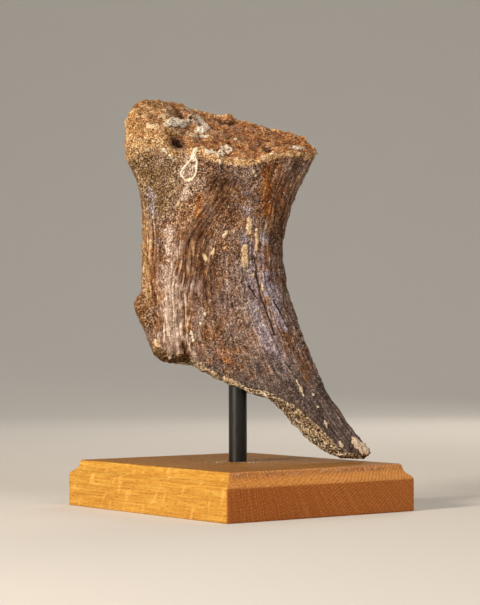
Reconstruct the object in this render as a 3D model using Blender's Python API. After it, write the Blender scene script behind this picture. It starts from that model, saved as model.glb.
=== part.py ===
"""A fossil pelvis fragment held over a moulded oak base by one black steel rod.

Metres, +Z up. The origin is the centre of the base's underside, with X along the base's short side
and Y along its long side, which is also the way the oak's grain runs. The bone is worked out in its own
view: X to the right of the rod, Y away from the viewer, Z up. It is then turned about the rod.
"""

import math

import bmesh
import bpy
import numpy as np

# The oak base
BASE_X = 0.125
BASE_Y = 0.150
BASE_Z = 0.0254
COVE_IN = 0.0056
COVE_DROP = 0.0056
ARRIS_DROP = 0.0024
FOOT_CHAMFER = 0.0006
COVE_STEPS = 7

# The rod and the two holes that it is glued into
ROD_RADIUS = 0.0050
ROD_SIDES = 40
ROD_CHAMFER = 0.0008
GLUE_GAP = 0.0003
BASE_SOCKET_DEPTH = 0.0150
BONE_SOCKET_TOP = 0.1000

# The bone: how far it is turned from the base, and how finely it is faceted
BONE_TURN = math.radians(-36.6)
AROUND = 76
LOWER_ROWS = 4
SIDE_ROWS = 35
UPPER_ROWS = 8

# Outlines of the bone as (x, z), read as smooth curves. Both sides run from the lower edge up.
LEFT_SIDE = [
    (-0.0466, 0.0850), (-0.0497, 0.0950), (-0.0515, 0.1060), (-0.0523, 0.1185), (-0.0522, 0.1440),
    (-0.0530, 0.1600), (-0.0545, 0.1735), (-0.0570, 0.1856), (-0.0597, 0.1966), (-0.0612, 0.2060),
]
RIGHT_SIDE = [
    (0.0725, 0.0305), (0.0689, 0.0352), (0.0546, 0.0547), (0.0458, 0.0701), (0.0392, 0.0855),
    (0.0342, 0.0987), (0.0298, 0.1119), (0.0265, 0.1251), (0.0249, 0.1383), (0.0252, 0.1480),
    (0.0293, 0.1647), (0.0364, 0.1823), (0.0436, 0.1952),
]
# Middle of the rough top, and middle of the broken lower edge. Both run from left to right.
TOP_LINE = [
    (-0.0612, 0.2060), (-0.0600, 0.2135), (-0.0560, 0.2192), (-0.0480, 0.2208), (-0.0380, 0.2172),
    (-0.0250, 0.2120), (-0.0100, 0.2065), (0.0034, 0.2032), (0.0200, 0.2000), (0.0340, 0.1985),
    (0.0436, 0.1952),
]
LOWER_LINE = [
    (-0.0466, 0.0850), (-0.0410, 0.0815), (-0.0340, 0.0805), (-0.0260, 0.0795), (-0.0175, 0.0760),
    (-0.0100, 0.0715), (0.0012, 0.0670), (0.0122, 0.0625), (0.0232, 0.0568), (0.0290, 0.0520),
    (0.0360, 0.0447), (0.0450, 0.0362), (0.0540, 0.0304), (0.0640, 0.0281), (0.0703, 0.0286),
    (0.0725, 0.0305),
]

# Half thickness in front of and behind the middle, from the lower edge (0) to the top (1)
FRONT_HALF = [(0.0, 0.0100), (0.25, 0.0165), (0.5, 0.0205), (0.75, 0.0240), (1.0, 0.0290)]
BACK_HALF = [(0.0, 0.0090), (0.25, 0.0150), (0.5, 0.0200), (0.75, 0.0250), (1.0, 0.0300)]
EDGE_POWER = 0.85
BACK_PEAK = 0.52
TAIL_THINNING = 0.40
TAIL_FORWARD = 0.009

# Where the thickest line of the front lies, from left (0) to right (1) of each section
RIDGE_PLACE = [(0.0, 0.32), (0.25, 0.36), (0.5, 0.43), (0.75, 0.49), (1.0, 0.53)]

# The top leans towards the viewer and is domed at its left. The broken lower faces lean as well.
TOP_TILT_BACK = 0.48
TOP_TILT_FRONT = [(0.0, 0.48), (0.4, 0.50), (0.7, 0.46), (0.82, 0.26), (1.0, 0.16)]
TOP_TILT_FROM = 0.72
TOP_RISE = [(0.0, 0.012), (0.12, 0.014), (0.26, 0.010), (0.42, 0.0035), (0.6, 0.0022), (1.0, 0.0020)]
TOP_ROUND, TOP_SHARP = 2.0, 4.5
LOWER_RISE = [(0.0, 0.003), (0.2, 0.002), (1.0, 0.0025)]
LOWER_SHARP = 4.0
LOWER_TILT = [(0.0, 0.35), (0.12, 0.40), (0.25, 0.15), (0.55, 0.15), (0.66, 0.55), (0.9, 0.60), (1.0, 0.30)]
LOWER_TILT_TO = 0.22

# The ragged flange low on the left: its crest, and how far it reaches up, down, across and out
FLANGE_Z, FLANGE_ABOVE, FLANGE_BELOW = 0.1125, 0.0045, 0.0130
FLANGE_ACROSS, FLANGE_OUT = 0.07, 0.0046

# Strokes of relief: (from x, from z, to x, to z, radius, height), on the front and on the back
FRONT_STROKES = [
    (-0.0319, 0.1992, -0.0319, 0.1992, 0.0042, -0.0050),  # nutrient hole
    (-0.0330, 0.1900, -0.0270, 0.1840, 0.0090, -0.0012),  # shallow dish below it
    (-0.0125, 0.1880, -0.0225, 0.1480, 0.0100, 0.0016),  # fold that runs down from the rim
    (-0.0225, 0.1480, -0.0340, 0.1150, 0.0085, 0.0014),  # its lower part
    (-0.0345, 0.1150, -0.0335, 0.0850, 0.0062, 0.0022),  # column that it ends in
    (-0.0425, 0.1160, -0.0405, 0.0850, 0.0032, -0.0024),  # groove between column and flange
    (-0.0262, 0.1120, -0.0250, 0.0800, 0.0045, -0.0017),  # groove on the column's right
    (0.0000, 0.1760, 0.0180, 0.1730, 0.0130, -0.0020),  # hollow under the front rim
    (0.0130, 0.1520, 0.0200, 0.0980, 0.0070, 0.0012),  # low ridge towards the tail
    (0.0040, 0.1460, 0.0110, 0.1000, 0.0050, -0.0009),  # groove beside it
    (0.0020, 0.0900, 0.0150, 0.0780, 0.0120, -0.0012),  # dish over the lower edge
]
BACK_STROKES = [
    (-0.0180, 0.1720, 0.0040, 0.1180, 0.0150, -0.0026),  # long hollow of the inner face
    (-0.0380, 0.1850, -0.0420, 0.1150, 0.0080, 0.0016),  # ridge down its outer side
    (0.0120, 0.1500, 0.0260, 0.0900, 0.0080, 0.0014),  # ridge towards the tail
    (-0.0060, 0.1480, -0.0060, 0.1480, 0.0035, -0.0034),  # nutrient hole
    (-0.0220, 0.0980, -0.0100, 0.0880, 0.0110, -0.0018),  # dish over the lower edge
]
# The same on the top face: (from x, from y, to x, to y, radius, height)
TOP_STROKES = [
    (-0.0310, 0.0060, -0.0345, 0.0260, 0.0022, -0.0032),  # cleft behind the left knob
    (-0.0262, 0.0120, -0.0262, 0.0180, 0.0042, 0.0018),  # knob right of the cleft
    (-0.0500, 0.0090, -0.0500, 0.0090, 0.0028, 0.0016),  # nub on the left knob
    (-0.0070, 0.0150, -0.0010, 0.0160, 0.0048, -0.0028),  # hollow near the back rim
    (0.0130, -0.0060, 0.0180, -0.0050, 0.0042, -0.0030),  # pit near the front rim
    (0.0010, 0.0250, 0.0010, 0.0290, 0.0024, -0.0020),  # notch in the back rim
    (0.0178, 0.0230, 0.0178, 0.0300, 0.0020, -0.0026),  # notch in the back rim
    (0.0280, -0.0020, 0.0320, 0.0060, 0.0060, -0.0014),  # dish at the right
    (-0.0120, -0.0080, -0.0060, -0.0120, 0.0070, 0.0012),  # swelling by the front rim
]

# Lumpy relief from a lattice of random values: (cell, height) for each kind of surface
NOISE_SEED = 7
NOISE_CELLS = 32
SHAFT_LUMPS = (0.0150, 0.0007)
TOP_LUMPS = (0.0085, 0.0013)
BREAK_LUMPS = (0.0060, 0.0014)
FLANGE_LUMPS = (0.0050, 0.0011)

MATERIALS = {
    "fossil_bone": ((0.24, 0.145, 0.085), 0.62, 0.0),
    "oak": ((0.62, 0.33, 0.11), 0.42, 0.0),
    "black_steel": ((0.02, 0.02, 0.022), 0.38, 0.0),
}


def clear_scene():
    for thing in list(bpy.data.objects):
        bpy.data.objects.remove(thing)


def material(name):
    colour, roughness, metallic = MATERIALS[name]
    made = bpy.data.materials.new(name)
    made.use_nodes = True
    shader = made.node_tree.nodes["Principled BSDF"]
    shader.inputs["Base Color"].default_value = (*colour, 1.0)
    shader.inputs["Roughness"].default_value = roughness
    shader.inputs["Metallic"].default_value = metallic
    made.diffuse_color = (*colour, 1.0)
    return made


def new_object(name, mesh, finish=None):
    thing = bpy.data.objects.new(name, mesh)
    bpy.context.scene.collection.objects.link(thing)
    if finish:
        mesh.materials.append(finish)
    return thing


def hermite(knots, values, places):
    """Cubic through values at knots, with slopes from their neighbours."""
    slopes = np.gradient(values, knots, axis=0)
    places = np.clip(places, 0, 1)
    i = np.clip(np.searchsorted(knots, places, side="right") - 1, 0, len(knots) - 2)
    span = (knots[i + 1] - knots[i])[..., None]
    f = (places - knots[i])[..., None] / span
    start = values[i] * (1 + 2 * f) * (1 - f) ** 2 + slopes[i] * span * f * (1 - f) ** 2
    end = values[i + 1] * f * f * (3 - 2 * f) + slopes[i + 1] * span * f * f * (f - 1)
    return start + end


def along(points, places):
    """Points of a smooth curve, at places from 0 to 1 of its length."""
    points = np.array(points)
    reach = np.concatenate([[0], np.cumsum(np.linalg.norm(np.diff(points, axis=0), axis=1))])
    return hermite(reach / reach[-1], points, places)


def graph(table, places):
    """A smooth value from a table of (place, value)."""
    table = np.array(table)
    return hermite(table[:, 0], table[:, 1:], places)[..., 0]


def step(x, low, high):
    t = np.clip((x - low) / (high - low), 0, 1)
    return t * t * (3 - 2 * t)


def bump(x, width):
    return np.exp(-((x / width) ** 2))


def lens(across, peak):
    """A section's depth from 0 at both sides to 1 at its peak."""
    left, right = peak * EDGE_POWER, (1 - peak) * EDGE_POWER
    highest = peak**left * (1 - peak) ** right
    return across**left * (1 - across) ** right / highest


def rows_and_columns():
    """For each vertex: place across and up, which side it is on, and the angles round both ends."""
    turn = np.arange(AROUND) / AROUND * 2 * np.pi
    across = np.clip((1 - np.cos(turn)) / 2, 0, 1)
    side = np.where((turn > 0) & (turn < np.pi), -1.0, 1.0)
    under = np.linspace(np.pi / 2, 0, LOWER_ROWS + 1)[:-1]
    over = np.linspace(0, np.pi / 2, UPPER_ROWS + 1)[1:]
    up = np.concatenate([np.zeros(LOWER_ROWS), np.linspace(0, 1, SIDE_ROWS + 1), np.ones(UPPER_ROWS)])
    under = np.concatenate([under, np.zeros(SIDE_ROWS + 1 + UPPER_ROWS)])
    over = np.concatenate([np.zeros(LOWER_ROWS + SIDE_ROWS + 1), over])
    grid = np.zeros((len(up), AROUND))
    return grid + across, grid + up[:, None], grid + side, grid + under[:, None], grid + over[:, None]


def middle_surface(across, up, under, over):
    """x and z of the bone's middle surface, stretched between its four outlines."""
    top, low = along(TOP_LINE, across), along(LOWER_LINE, across)
    ahead = along(LOWER_LINE, np.clip(across + 0.02, 0, 1)) - along(LOWER_LINE, np.clip(across - 0.02, 0, 1))
    ahead /= np.linalg.norm(ahead, axis=-1, keepdims=True)
    outward = np.stack([ahead[..., 1], -ahead[..., 0]], -1)
    inside = step(np.minimum(across, 1 - across), 0, 0.03)
    top_rise, low_rise = graph(TOP_RISE, across) * inside, graph(LOWER_RISE, across) * inside
    top_side = top - np.stack([np.zeros_like(across), top_rise], -1)
    low_side = low - outward * low_rise[..., None]
    s, t = across[..., None], up[..., None]
    left_corners = (1 - t) * np.array(LEFT_SIDE[0]) + t * np.array(LEFT_SIDE[-1])
    right_corners = (1 - t) * np.array(RIGHT_SIDE[0]) + t * np.array(RIGHT_SIDE[-1])
    from_left = along(LEFT_SIDE, up) - left_corners
    from_right = along(RIGHT_SIDE, up) - right_corners
    middle = (1 - t) * low_side + t * top_side + (1 - s) * from_left + s * from_right
    roundness = TOP_ROUND + (TOP_SHARP - TOP_ROUND) * step(across, 0.15, 0.42)
    middle = middle + outward * (low_rise * np.sin(under) ** (2 / LOWER_SHARP))[..., None]
    middle[..., 1] += top_rise * np.sin(over) ** (2 / roundness)
    closing = np.cos(under) ** (2 / LOWER_SHARP) * np.cos(over) ** (2 / roundness)
    return middle, outward, closing


def depth(across, up, side, closing):
    """How far each vertex lies in front of (minus) or behind the middle surface."""
    front = side < 0
    half = np.where(front, graph(FRONT_HALF, up), graph(BACK_HALF, up))
    half = half * (1 - TAIL_THINNING * step(across, 0.35, 1.0) * (1 - up) ** 1.5)
    shape = np.where(front, lens(across, graph(RIDGE_PLACE, up)), lens(across, BACK_PEAK))
    return side * shape * closing * half


def bone_form():
    """The smooth form of the bone, and how much of each rough surface each vertex is."""
    across, up, side, under, over = rows_and_columns()
    middle, outward, closing = middle_surface(across, up, under, over)
    y = depth(across, up, side, closing)
    tilt = np.where(side < 0, graph(TOP_TILT_FRONT, across), TOP_TILT_BACK)
    top_lean = tilt * step(up, TOP_TILT_FROM, 1.0) * y
    low_lean = graph(LOWER_TILT, across) * (1 - step(up, 0, LOWER_TILT_TO)) * y
    x = middle[..., 0] + outward[..., 0] * low_lean
    z = middle[..., 1] + outward[..., 1] * low_lean + top_lean
    reach = np.where(z > FLANGE_Z, FLANGE_ABOVE, FLANGE_BELOW)
    flange = bump(z - FLANGE_Z, reach) * (1 - step(across, 0, FLANGE_ACROSS)) * (up < 1)
    x = x - FLANGE_OUT * flange
    y = y - TAIL_FORWARD * step(across, 0.3, 1.0) * (1 - up) ** 1.5
    rough = {
        "top": np.maximum(step(over, 0, 0.6), step(up, 0.9, 1.0) * (1 - step(across, 0.3, 0.5))),
        "break": step(under, 0, 0.5),
        "flange": bump(z - FLANGE_Z, 1.3 * reach) * (1 - step(across, 0.02, FLANGE_ACROSS)),
        "front": ((side < 0) & (over == 0)).astype(float),
        "back": ((side > 0) & (over == 0)).astype(float),
    }
    return np.stack([x, y, z], -1), rough


def bone_faces(rows):
    """Quads between the rows. In the first and last row, front and back share their vertices."""
    row, column = np.meshgrid(np.arange(rows - 1), np.arange(AROUND), indexing="ij")

    def vertex(r, c):
        seam = (r == 0) | (r == rows - 1)
        return r * AROUND + np.where(seam, np.minimum(c, AROUND - c), c)

    beside = (column + 1) % AROUND
    corners = [vertex(row, column), vertex(row, beside), vertex(row + 1, beside), vertex(row + 1, column)]
    return np.stack(corners, -1).reshape(-1, 4)


def normals(points, faces):
    """Unit normal of each vertex, from the faces around it."""
    flat = points.reshape(-1, 3)
    a, b, c, d = (flat[faces[:, k]] for k in range(4))
    across = np.cross(c - a, d - b)
    total = np.zeros_like(flat)
    for k in range(4):
        np.add.at(total, faces[:, k], across)
    total /= np.maximum(np.linalg.norm(total, axis=1, keepdims=True), 1e-12)
    return total.reshape(points.shape)


def strokes(u, v, table):
    """Sum of soft strokes: each falls off with the distance from its line."""
    total = np.zeros_like(u)
    for from_u, from_v, to_u, to_v, radius, height in table:
        du, dv = to_u - from_u, to_v - from_v
        length = du * du + dv * dv
        t = np.clip(((u - from_u) * du + (v - from_v) * dv) / length, 0, 1) if length else 0
        total += height * bump(np.hypot(u - from_u - t * du, v - from_v - t * dv), radius)
    return total


def lumps(points, cell, height):
    """Smooth random relief: random values on a cubic lattice, blended between its points."""
    lattice = np.random.default_rng(NOISE_SEED).uniform(-1, 1, (NOISE_CELLS,) * 3)
    place = points / cell + NOISE_CELLS
    low = np.floor(place).astype(int)
    f = place - low
    f = f * f * (3 - 2 * f)
    total = np.zeros(points.shape[:-1])
    for corner in np.ndindex(2, 2, 2):
        i = (low + corner) % NOISE_CELLS
        weight = np.prod(np.where(corner, f, 1 - f), axis=-1)
        total += weight * lattice[i[..., 0], i[..., 1], i[..., 2]]
    return height * total


def bone_points():
    points, rough = bone_form()
    faces = bone_faces(len(points))
    x, y, z = points[..., 0], points[..., 1], points[..., 2]
    relief = rough["front"] * strokes(x, z, FRONT_STROKES)
    relief += rough["back"] * strokes(x, z, BACK_STROKES)
    relief += rough["top"] * (strokes(x, y, TOP_STROKES) + lumps(points, *TOP_LUMPS))
    relief += rough["break"] * lumps(points, *BREAK_LUMPS)
    relief += rough["flange"] * lumps(points, *FLANGE_LUMPS)
    relief += lumps(points, *SHAFT_LUMPS)
    return points + normals(points, faces) * relief[..., None], faces


def cylinder(name, radius, low, high, chamfer=0.0, finish=None):
    """A round bar along Z through the origin, with its upper edge chamfered."""
    made = bmesh.new()
    outline = [(radius, low), (radius, high - chamfer)]
    if chamfer:
        outline.append((radius - chamfer, high))
    rings = []
    for r, z in outline:
        angles = [2 * math.pi * k / ROD_SIDES for k in range(ROD_SIDES)]
        rings.append([made.verts.new((r * math.cos(a), r * math.sin(a), z)) for a in angles])
    for lower, upper in zip(rings, rings[1:]):
        for k in range(ROD_SIDES):
            n = (k + 1) % ROD_SIDES
            made.faces.new((lower[k], lower[n], upper[n], upper[k]))
    made.faces.new(reversed(rings[0]))
    made.faces.new(rings[-1])
    mesh = bpy.data.meshes.new(name)
    made.to_mesh(mesh)
    made.free()
    mesh.shade_smooth()
    mesh.set_sharp_from_angle(angle=math.radians(40))
    return new_object(name, mesh, finish)


def cut(thing, cutter):
    """Takes the cutter's shape out of the thing."""
    cutter.hide_render = True
    cutter.display_type = "WIRE"
    boolean = thing.modifiers.new("socket", "BOOLEAN")
    boolean.operation = "DIFFERENCE"
    boolean.object = cutter


def pelvis_bone(finish):
    points, faces = bone_points()
    made = bmesh.new()
    verts = [made.verts.new(p) for p in points.reshape(-1, 3)]
    for face in faces:
        made.faces.new([verts[k] for k in face])
    for vert in [v for v in made.verts if not v.link_faces]:
        made.verts.remove(vert)
    bmesh.ops.triangulate(made, faces=made.faces)
    bmesh.ops.recalc_face_normals(made, faces=made.faces)
    mesh = bpy.data.meshes.new("pelvis_bone")
    made.to_mesh(mesh)
    made.free()
    mesh.shade_smooth()
    bone = new_object("pelvis_bone", mesh, finish)
    bone.rotation_euler[2] = BONE_TURN
    socket = cylinder("bone_socket", ROD_RADIUS + GLUE_GAP, BASE_Z + 0.01, BONE_SOCKET_TOP)
    cut(bone, socket)


def base_outline():
    """(inset, height) up the base's side: foot chamfer, straight side, eased arris, then the cove."""
    side_top = BASE_Z - COVE_DROP - ARRIS_DROP
    outline = [(FOOT_CHAMFER, 0.0), (0.0, FOOT_CHAMFER), (0.0, side_top)]
    outline.append((0.10 * COVE_IN, side_top + 0.45 * ARRIS_DROP))
    start_in = 0.25 * COVE_IN
    for k in range(COVE_STEPS + 1):
        angle = math.pi / 2 * k / COVE_STEPS
        inset = start_in + (COVE_IN - start_in) * math.sin(angle)
        outline.append((inset, BASE_Z - COVE_DROP * math.cos(angle)))
    return outline


def oak_base(finish):
    made = bmesh.new()
    rings = []
    for inset, z in base_outline():
        x, y = BASE_X / 2 - inset, BASE_Y / 2 - inset
        rings.append([made.verts.new((a * x, b * y, z)) for a, b in ((-1, -1), (1, -1), (1, 1), (-1, 1))])
    for lower, upper in zip(rings, rings[1:]):
        for k in range(4):
            n = (k + 1) % 4
            made.faces.new((lower[k], lower[n], upper[n], upper[k]))
    made.faces.new(reversed(rings[0]))
    made.faces.new(rings[-1])
    mesh = bpy.data.meshes.new("oak_base")
    made.to_mesh(mesh)
    made.free()
    mesh.shade_smooth()
    mesh.set_sharp_from_angle(angle=math.radians(30))
    base = new_object("oak_base", mesh, finish)
    socket = cylinder("base_socket", ROD_RADIUS + GLUE_GAP, BASE_Z - BASE_SOCKET_DEPTH, BASE_Z + 0.01)
    cut(base, socket)


def support_rod(finish):
    low = BASE_Z - BASE_SOCKET_DEPTH + GLUE_GAP
    cylinder("support_rod", ROD_RADIUS, low, BONE_SOCKET_TOP - GLUE_GAP, ROD_CHAMFER, finish)


def main():
    clear_scene()
    oak_base(material("oak"))
    support_rod(material("black_steel"))
    pelvis_bone(material("fossil_bone"))


main()
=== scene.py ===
import math
from functools import partial
import bmesh
import bpy
import numpy as np
from mathutils import Matrix, Vector


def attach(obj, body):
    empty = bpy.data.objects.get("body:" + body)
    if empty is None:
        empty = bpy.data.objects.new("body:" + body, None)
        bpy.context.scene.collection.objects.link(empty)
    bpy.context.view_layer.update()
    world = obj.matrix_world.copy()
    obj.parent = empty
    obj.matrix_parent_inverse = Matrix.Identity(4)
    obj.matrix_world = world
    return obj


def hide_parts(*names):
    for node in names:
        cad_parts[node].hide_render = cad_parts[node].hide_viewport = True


# A fossil pelvis fragment on a black rod over a moulded oak base: how its surfaces look.
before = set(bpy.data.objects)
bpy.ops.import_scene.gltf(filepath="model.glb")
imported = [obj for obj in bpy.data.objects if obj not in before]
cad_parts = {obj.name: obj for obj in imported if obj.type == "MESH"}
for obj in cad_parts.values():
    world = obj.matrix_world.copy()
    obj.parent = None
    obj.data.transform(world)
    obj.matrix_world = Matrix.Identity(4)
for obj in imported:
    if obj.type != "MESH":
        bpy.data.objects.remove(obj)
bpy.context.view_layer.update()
mm = 0.001

photoView = {
    "turn": -36.6,  # degrees about the rod, from the base's sides to the viewer's
    "place": (1.4, -1099.6, 92),  # the camera, in mm: right of the rod, nearer (minus), above the table
    "tiltUp": 1.08,
    "roll": -0.16,
    "sensorHeight": 36,
    "imageHeight": 605,
    "focalPixels": 2000,
}


def turnToBase(points):
    # The bone, the camera and the lights are laid out as the viewer sees them, then turned about the rod.
    angle = math.radians(photoView["turn"])
    x, y, z = points[..., 0], points[..., 1], points[..., 2]
    turned = [x * math.cos(angle) - y * math.sin(angle), x * math.sin(angle) + y * math.cos(angle), z]
    return np.stack(turned, -1)


def makeCamera():
    # The camera stands level with the viewer, tips up and rolls a little, and turns with the layout.
    data = bpy.data.cameras.new("photoCamera")
    data.sensor_fit = "VERTICAL"
    data.sensor_height = photoView["sensorHeight"]
    data.lens = photoView["sensorHeight"] * photoView["focalPixels"] / photoView["imageHeight"]
    camera = bpy.data.objects.new("photoCamera", data)
    bpy.context.scene.collection.objects.link(camera)
    tilt, roll = math.radians(90 + photoView["tiltUp"]), math.radians(photoView["roll"])
    turn = Matrix.Rotation(math.radians(photoView["turn"]), 4, "Z")
    place = Matrix.Translation(Vector(photoView["place"]) * mm)
    camera.matrix_world = turn @ place @ Matrix.Rotation(tilt, 4, "X") @ Matrix.Rotation(roll, 4, "Z")
    bpy.context.scene.camera = camera


makeCamera()
print("camera placed")


# Shared helpers for shapes


noiseValues = 256  # random values of a pattern, before it repeats
weldGap = 0.002  # mm
farAway = 99.0  # mm, further than any mark reaches
outside = -3.0  # mm, how far inside a mark the points away from all marks count as


def smoothStep(x, low, high):
    # Rises from 0 at low to 1 at high, gently at both ends.
    t = np.clip((x - low) / (high - low), 0, 1)
    return t * t * (3 - 2 * t)


def below(x, low, high):
    # Falls from 1 at low to 0 at high.
    return 1 - smoothStep(x, low, high)


def bump(x, width):
    # A bell: 1 at 0, about a third at the width, and soon nothing.
    return np.exp(-((x / width) ** 2))


def cubicThrough(knots, values, places):
    # A cubic in each span, with the slope at each knot taken from its neighbours.
    slopes = np.gradient(values, knots, axis=0)
    places = np.clip(places, 0, 1)
    i = np.clip(np.searchsorted(knots, places, side="right") - 1, 0, len(knots) - 2)
    span = (knots[i + 1] - knots[i])[..., None]
    f = (places - knots[i])[..., None] / span
    start = values[i] * (1 + 2 * f) * (1 - f) ** 2 + slopes[i] * span * f * (1 - f) ** 2
    end = values[i + 1] * f * f * (3 - 2 * f) + slopes[i + 1] * span * f * f * (f - 1)
    return start + end


def along(points, places):
    # Points of a smooth curve, at places from 0 to 1 of its length.
    points = np.array(points, float)
    reach = np.concatenate([[0], np.cumsum(np.linalg.norm(np.diff(points, axis=0), axis=1))])
    return cubicThrough(reach / reach[-1], points, places)


def graph(table, places):
    # A smooth value from a table of (place, value).
    table = np.array(table, float)
    return cubicThrough(table[:, 0], table[:, 1:], places)[..., 0]


def pickAt(order, corners):
    # The shuffled number of the random value that belongs to each corner of a lattice.
    at = corners % len(order)
    for k in range(3):
        picked = order[at[..., 0]] if k == 0 else order[(picked + at[..., k]) % len(order)]
    return picked


def smoothNoise(points, cell, seed):
    # Random slopes at the corners of a lattice, blended between them: about -1 to 1.
    random = np.random.default_rng(seed)
    order = random.permutation(noiseValues)
    slopes = random.normal(size=(noiseValues, 3))
    slopes /= np.linalg.norm(slopes, axis=1, keepdims=True)
    place = points / np.asarray(cell, float)
    low = np.floor(place).astype(int)
    inside = place - low
    blend = inside**3 * (inside * (inside * 6 - 15) + 10)
    total = np.zeros(points.shape[:-1])
    for corner in np.ndindex(2, 2, 2):
        weight = np.prod(np.where(corner, blend, 1 - blend), axis=-1)
        total += weight * np.sum(slopes[pickAt(order, low + corner)] * (inside - corner), axis=-1)
    return 1.6 * total


def noiseSum(points, table):
    # Noises of several sizes in mm, each with its height and seed.
    return sum(height * smoothNoise(points, size, seed) for size, height, seed in table)


def cellGap(points, cell, seed, share):
    # One random point in a share of the lattice's cells: the distance to the nearest, in cells.
    random = np.random.default_rng(seed)
    order = random.permutation(noiseValues)
    jitter = random.uniform(0, 1, (noiseValues, 3))
    absent = np.where(random.uniform(0, 1, noiseValues) < share, 0, 9)
    place = points / np.asarray(cell, float)
    low = np.floor(place).astype(int)
    nearest = np.full(points.shape[:-1], 9.0)
    for step in np.ndindex(3, 3, 3):
        corner = low + step - 1
        pick = pickAt(order, corner)
        gap = np.linalg.norm(place - corner - jitter[pick], axis=-1) + absent[pick]
        nearest = np.minimum(nearest, gap)
    return nearest


def lineGap(u, v, fromU, fromV, toU, toV):
    # Distance to a straight line between two points.
    du, dv = toU - fromU, toV - fromV
    length = du * du + dv * dv
    t = np.clip(((u - fromU) * du + (v - fromV) * dv) / length, 0, 1) if length else 0
    return np.hypot(u - fromU - t * du, v - fromV - t * dv)


def gridFaces(rows, around, sharedSeam=False):
    # Quads between the rows of a closed grid. At a shared seam, front and back use the same vertices.
    row, column = np.meshgrid(np.arange(rows - 1), np.arange(around), indexing="ij")

    def vertex(r, c):
        seam = ((r == 0) | (r == rows - 1)) & sharedSeam
        return r * around + np.where(seam, np.minimum(c, around - c), c)

    beside = (column + 1) % around
    corners = [vertex(row, column), vertex(row, beside), vertex(row + 1, beside), vertex(row + 1, column)]
    return np.stack(corners, -1).reshape(-1, 4)


def spun(radius, height, sides):
    # A profile's radii and heights turned about the upright axis.
    angle = np.arange(sides) / sides * 2 * np.pi
    return np.stack([radius * np.cos(angle), radius * np.sin(angle), height + 0 * angle], -1)


def vertexNormals(points, faces):
    # The cross product of each face's diagonals, added up at its corners and made one long.
    flat = points.reshape(-1, 3)
    a, b, c, d = (flat[faces[:, k]] for k in range(4))
    across = np.cross(c - a, d - b)
    total = np.zeros_like(flat)
    for k in range(4):
        np.add.at(total, faces[:, k], across)
    total /= np.maximum(np.linalg.norm(total, axis=1, keepdims=True), 1e-12)
    return total.reshape(points.shape)


def makePiece(name, points, faces, fields=None, flow=None, closed=True):
    # Points in mm to a mesh in metres, with named numbers at each vertex and the flow as a UV map.
    mesh = bpy.data.meshes.new(name)
    mesh.from_pydata((points.reshape(-1, 3) * mm).tolist(), [], faces.tolist())
    for key, values in (fields or {}).items():
        layer = mesh.attributes.new(key, "FLOAT", "POINT")
        layer.data.foreach_set("value", np.ascontiguousarray(values, dtype=np.float32).ravel())
    if flow is not None:
        corner = np.zeros(len(mesh.loops), dtype=np.int32)
        mesh.loops.foreach_get("vertex_index", corner)
        layer = mesh.uv_layers.new(name="flow")
        layer.data.foreach_set("uv", flow.reshape(-1, 2)[corner].astype(np.float32).ravel())
    work = bmesh.new()
    work.from_mesh(mesh)
    for vert in [v for v in work.verts if not v.link_faces]:
        work.verts.remove(vert)
    if closed:
        bmesh.ops.holes_fill(work, edges=[e for e in work.edges if e.is_boundary])
    bmesh.ops.remove_doubles(work, verts=work.verts, dist=weldGap * mm)
    bmesh.ops.recalc_face_normals(work, faces=work.faces)
    work.to_mesh(mesh)
    work.free()
    mesh.shade_smooth()
    piece = bpy.data.objects.new(name, mesh)
    bpy.context.scene.collection.objects.link(piece)
    return piece


# Shared helpers for materials


smooth = {"interpolation_type": "SMOOTHSTEP"}
inColour = {"data_type": "RGBA"}


def linear(hexCode):
    # An sRGB hex colour as linear red, green, blue and alpha.
    parts = np.array([int(hexCode[i : i + 2], 16) for i in (0, 2, 4)]) / 255
    parts = np.where(parts <= 0.04045, parts / 12.92, ((parts + 0.055) / 1.055) ** 2.4)
    return (*parts.tolist(), 1.0)


def fillSocket(tree, socket, value):
    # Gives an input a link or a fixed value, or leaves it as it is.
    if isinstance(value, bpy.types.NodeSocket):
        tree.links.new(value, socket)
    elif value is not None:
        socket.default_value = value


def addNode(tree, kind, settings=None, *inputs, out=None):
    # Adds a node and gives back one of its outputs, the first one unless out names another. Settings are
    # the node's own choices: a word is its operation and a list its colour stops. Inputs fill its live
    # sockets in order.
    node = tree.nodes.new("ShaderNode" + kind)
    stops = settings if isinstance(settings, list) else []
    if isinstance(settings, str):
        settings = {"operation": settings}
    if isinstance(settings, dict):
        for key, value in settings.items():
            setattr(node, key, value)
    while stops and len(node.color_ramp.elements) < len(stops):
        node.color_ramp.elements.new(0.5)
    for k, (place, colour) in enumerate(stops):
        node.color_ramp.elements[k].position = place
        node.color_ramp.elements[k].color = linear(colour)
    for socket, value in zip([s for s in node.inputs if s.enabled], inputs):
        fillSocket(tree, socket, value)
    return node.outputs[out] if out else next(socket for socket in node.outputs if socket.enabled)


def newMaterial(name):
    # Gives back the material, what adds nodes to it, and what fills its surface's inputs by their names.
    material = bpy.data.materials.new(name)
    material.use_nodes = True
    tree = material.node_tree

    def setSurface(values):
        for key, value in values.items():
            fillSocket(tree, tree.nodes["Principled BSDF"].inputs[key], value)

    return material, partial(addNode, tree), setSurface


def inMetres(sizes):
    # Sizes in mm as metres, for patterns that read the object's own coordinates.
    return [size * mm for size in sizes]


def finer(x, y, z=None):
    # The scale that makes a pattern's unit x, y and z mm long, with z as x if it isn't given.
    return tuple(1 / (size * mm) for size in (x, y, z or x))


# The fossil


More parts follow.
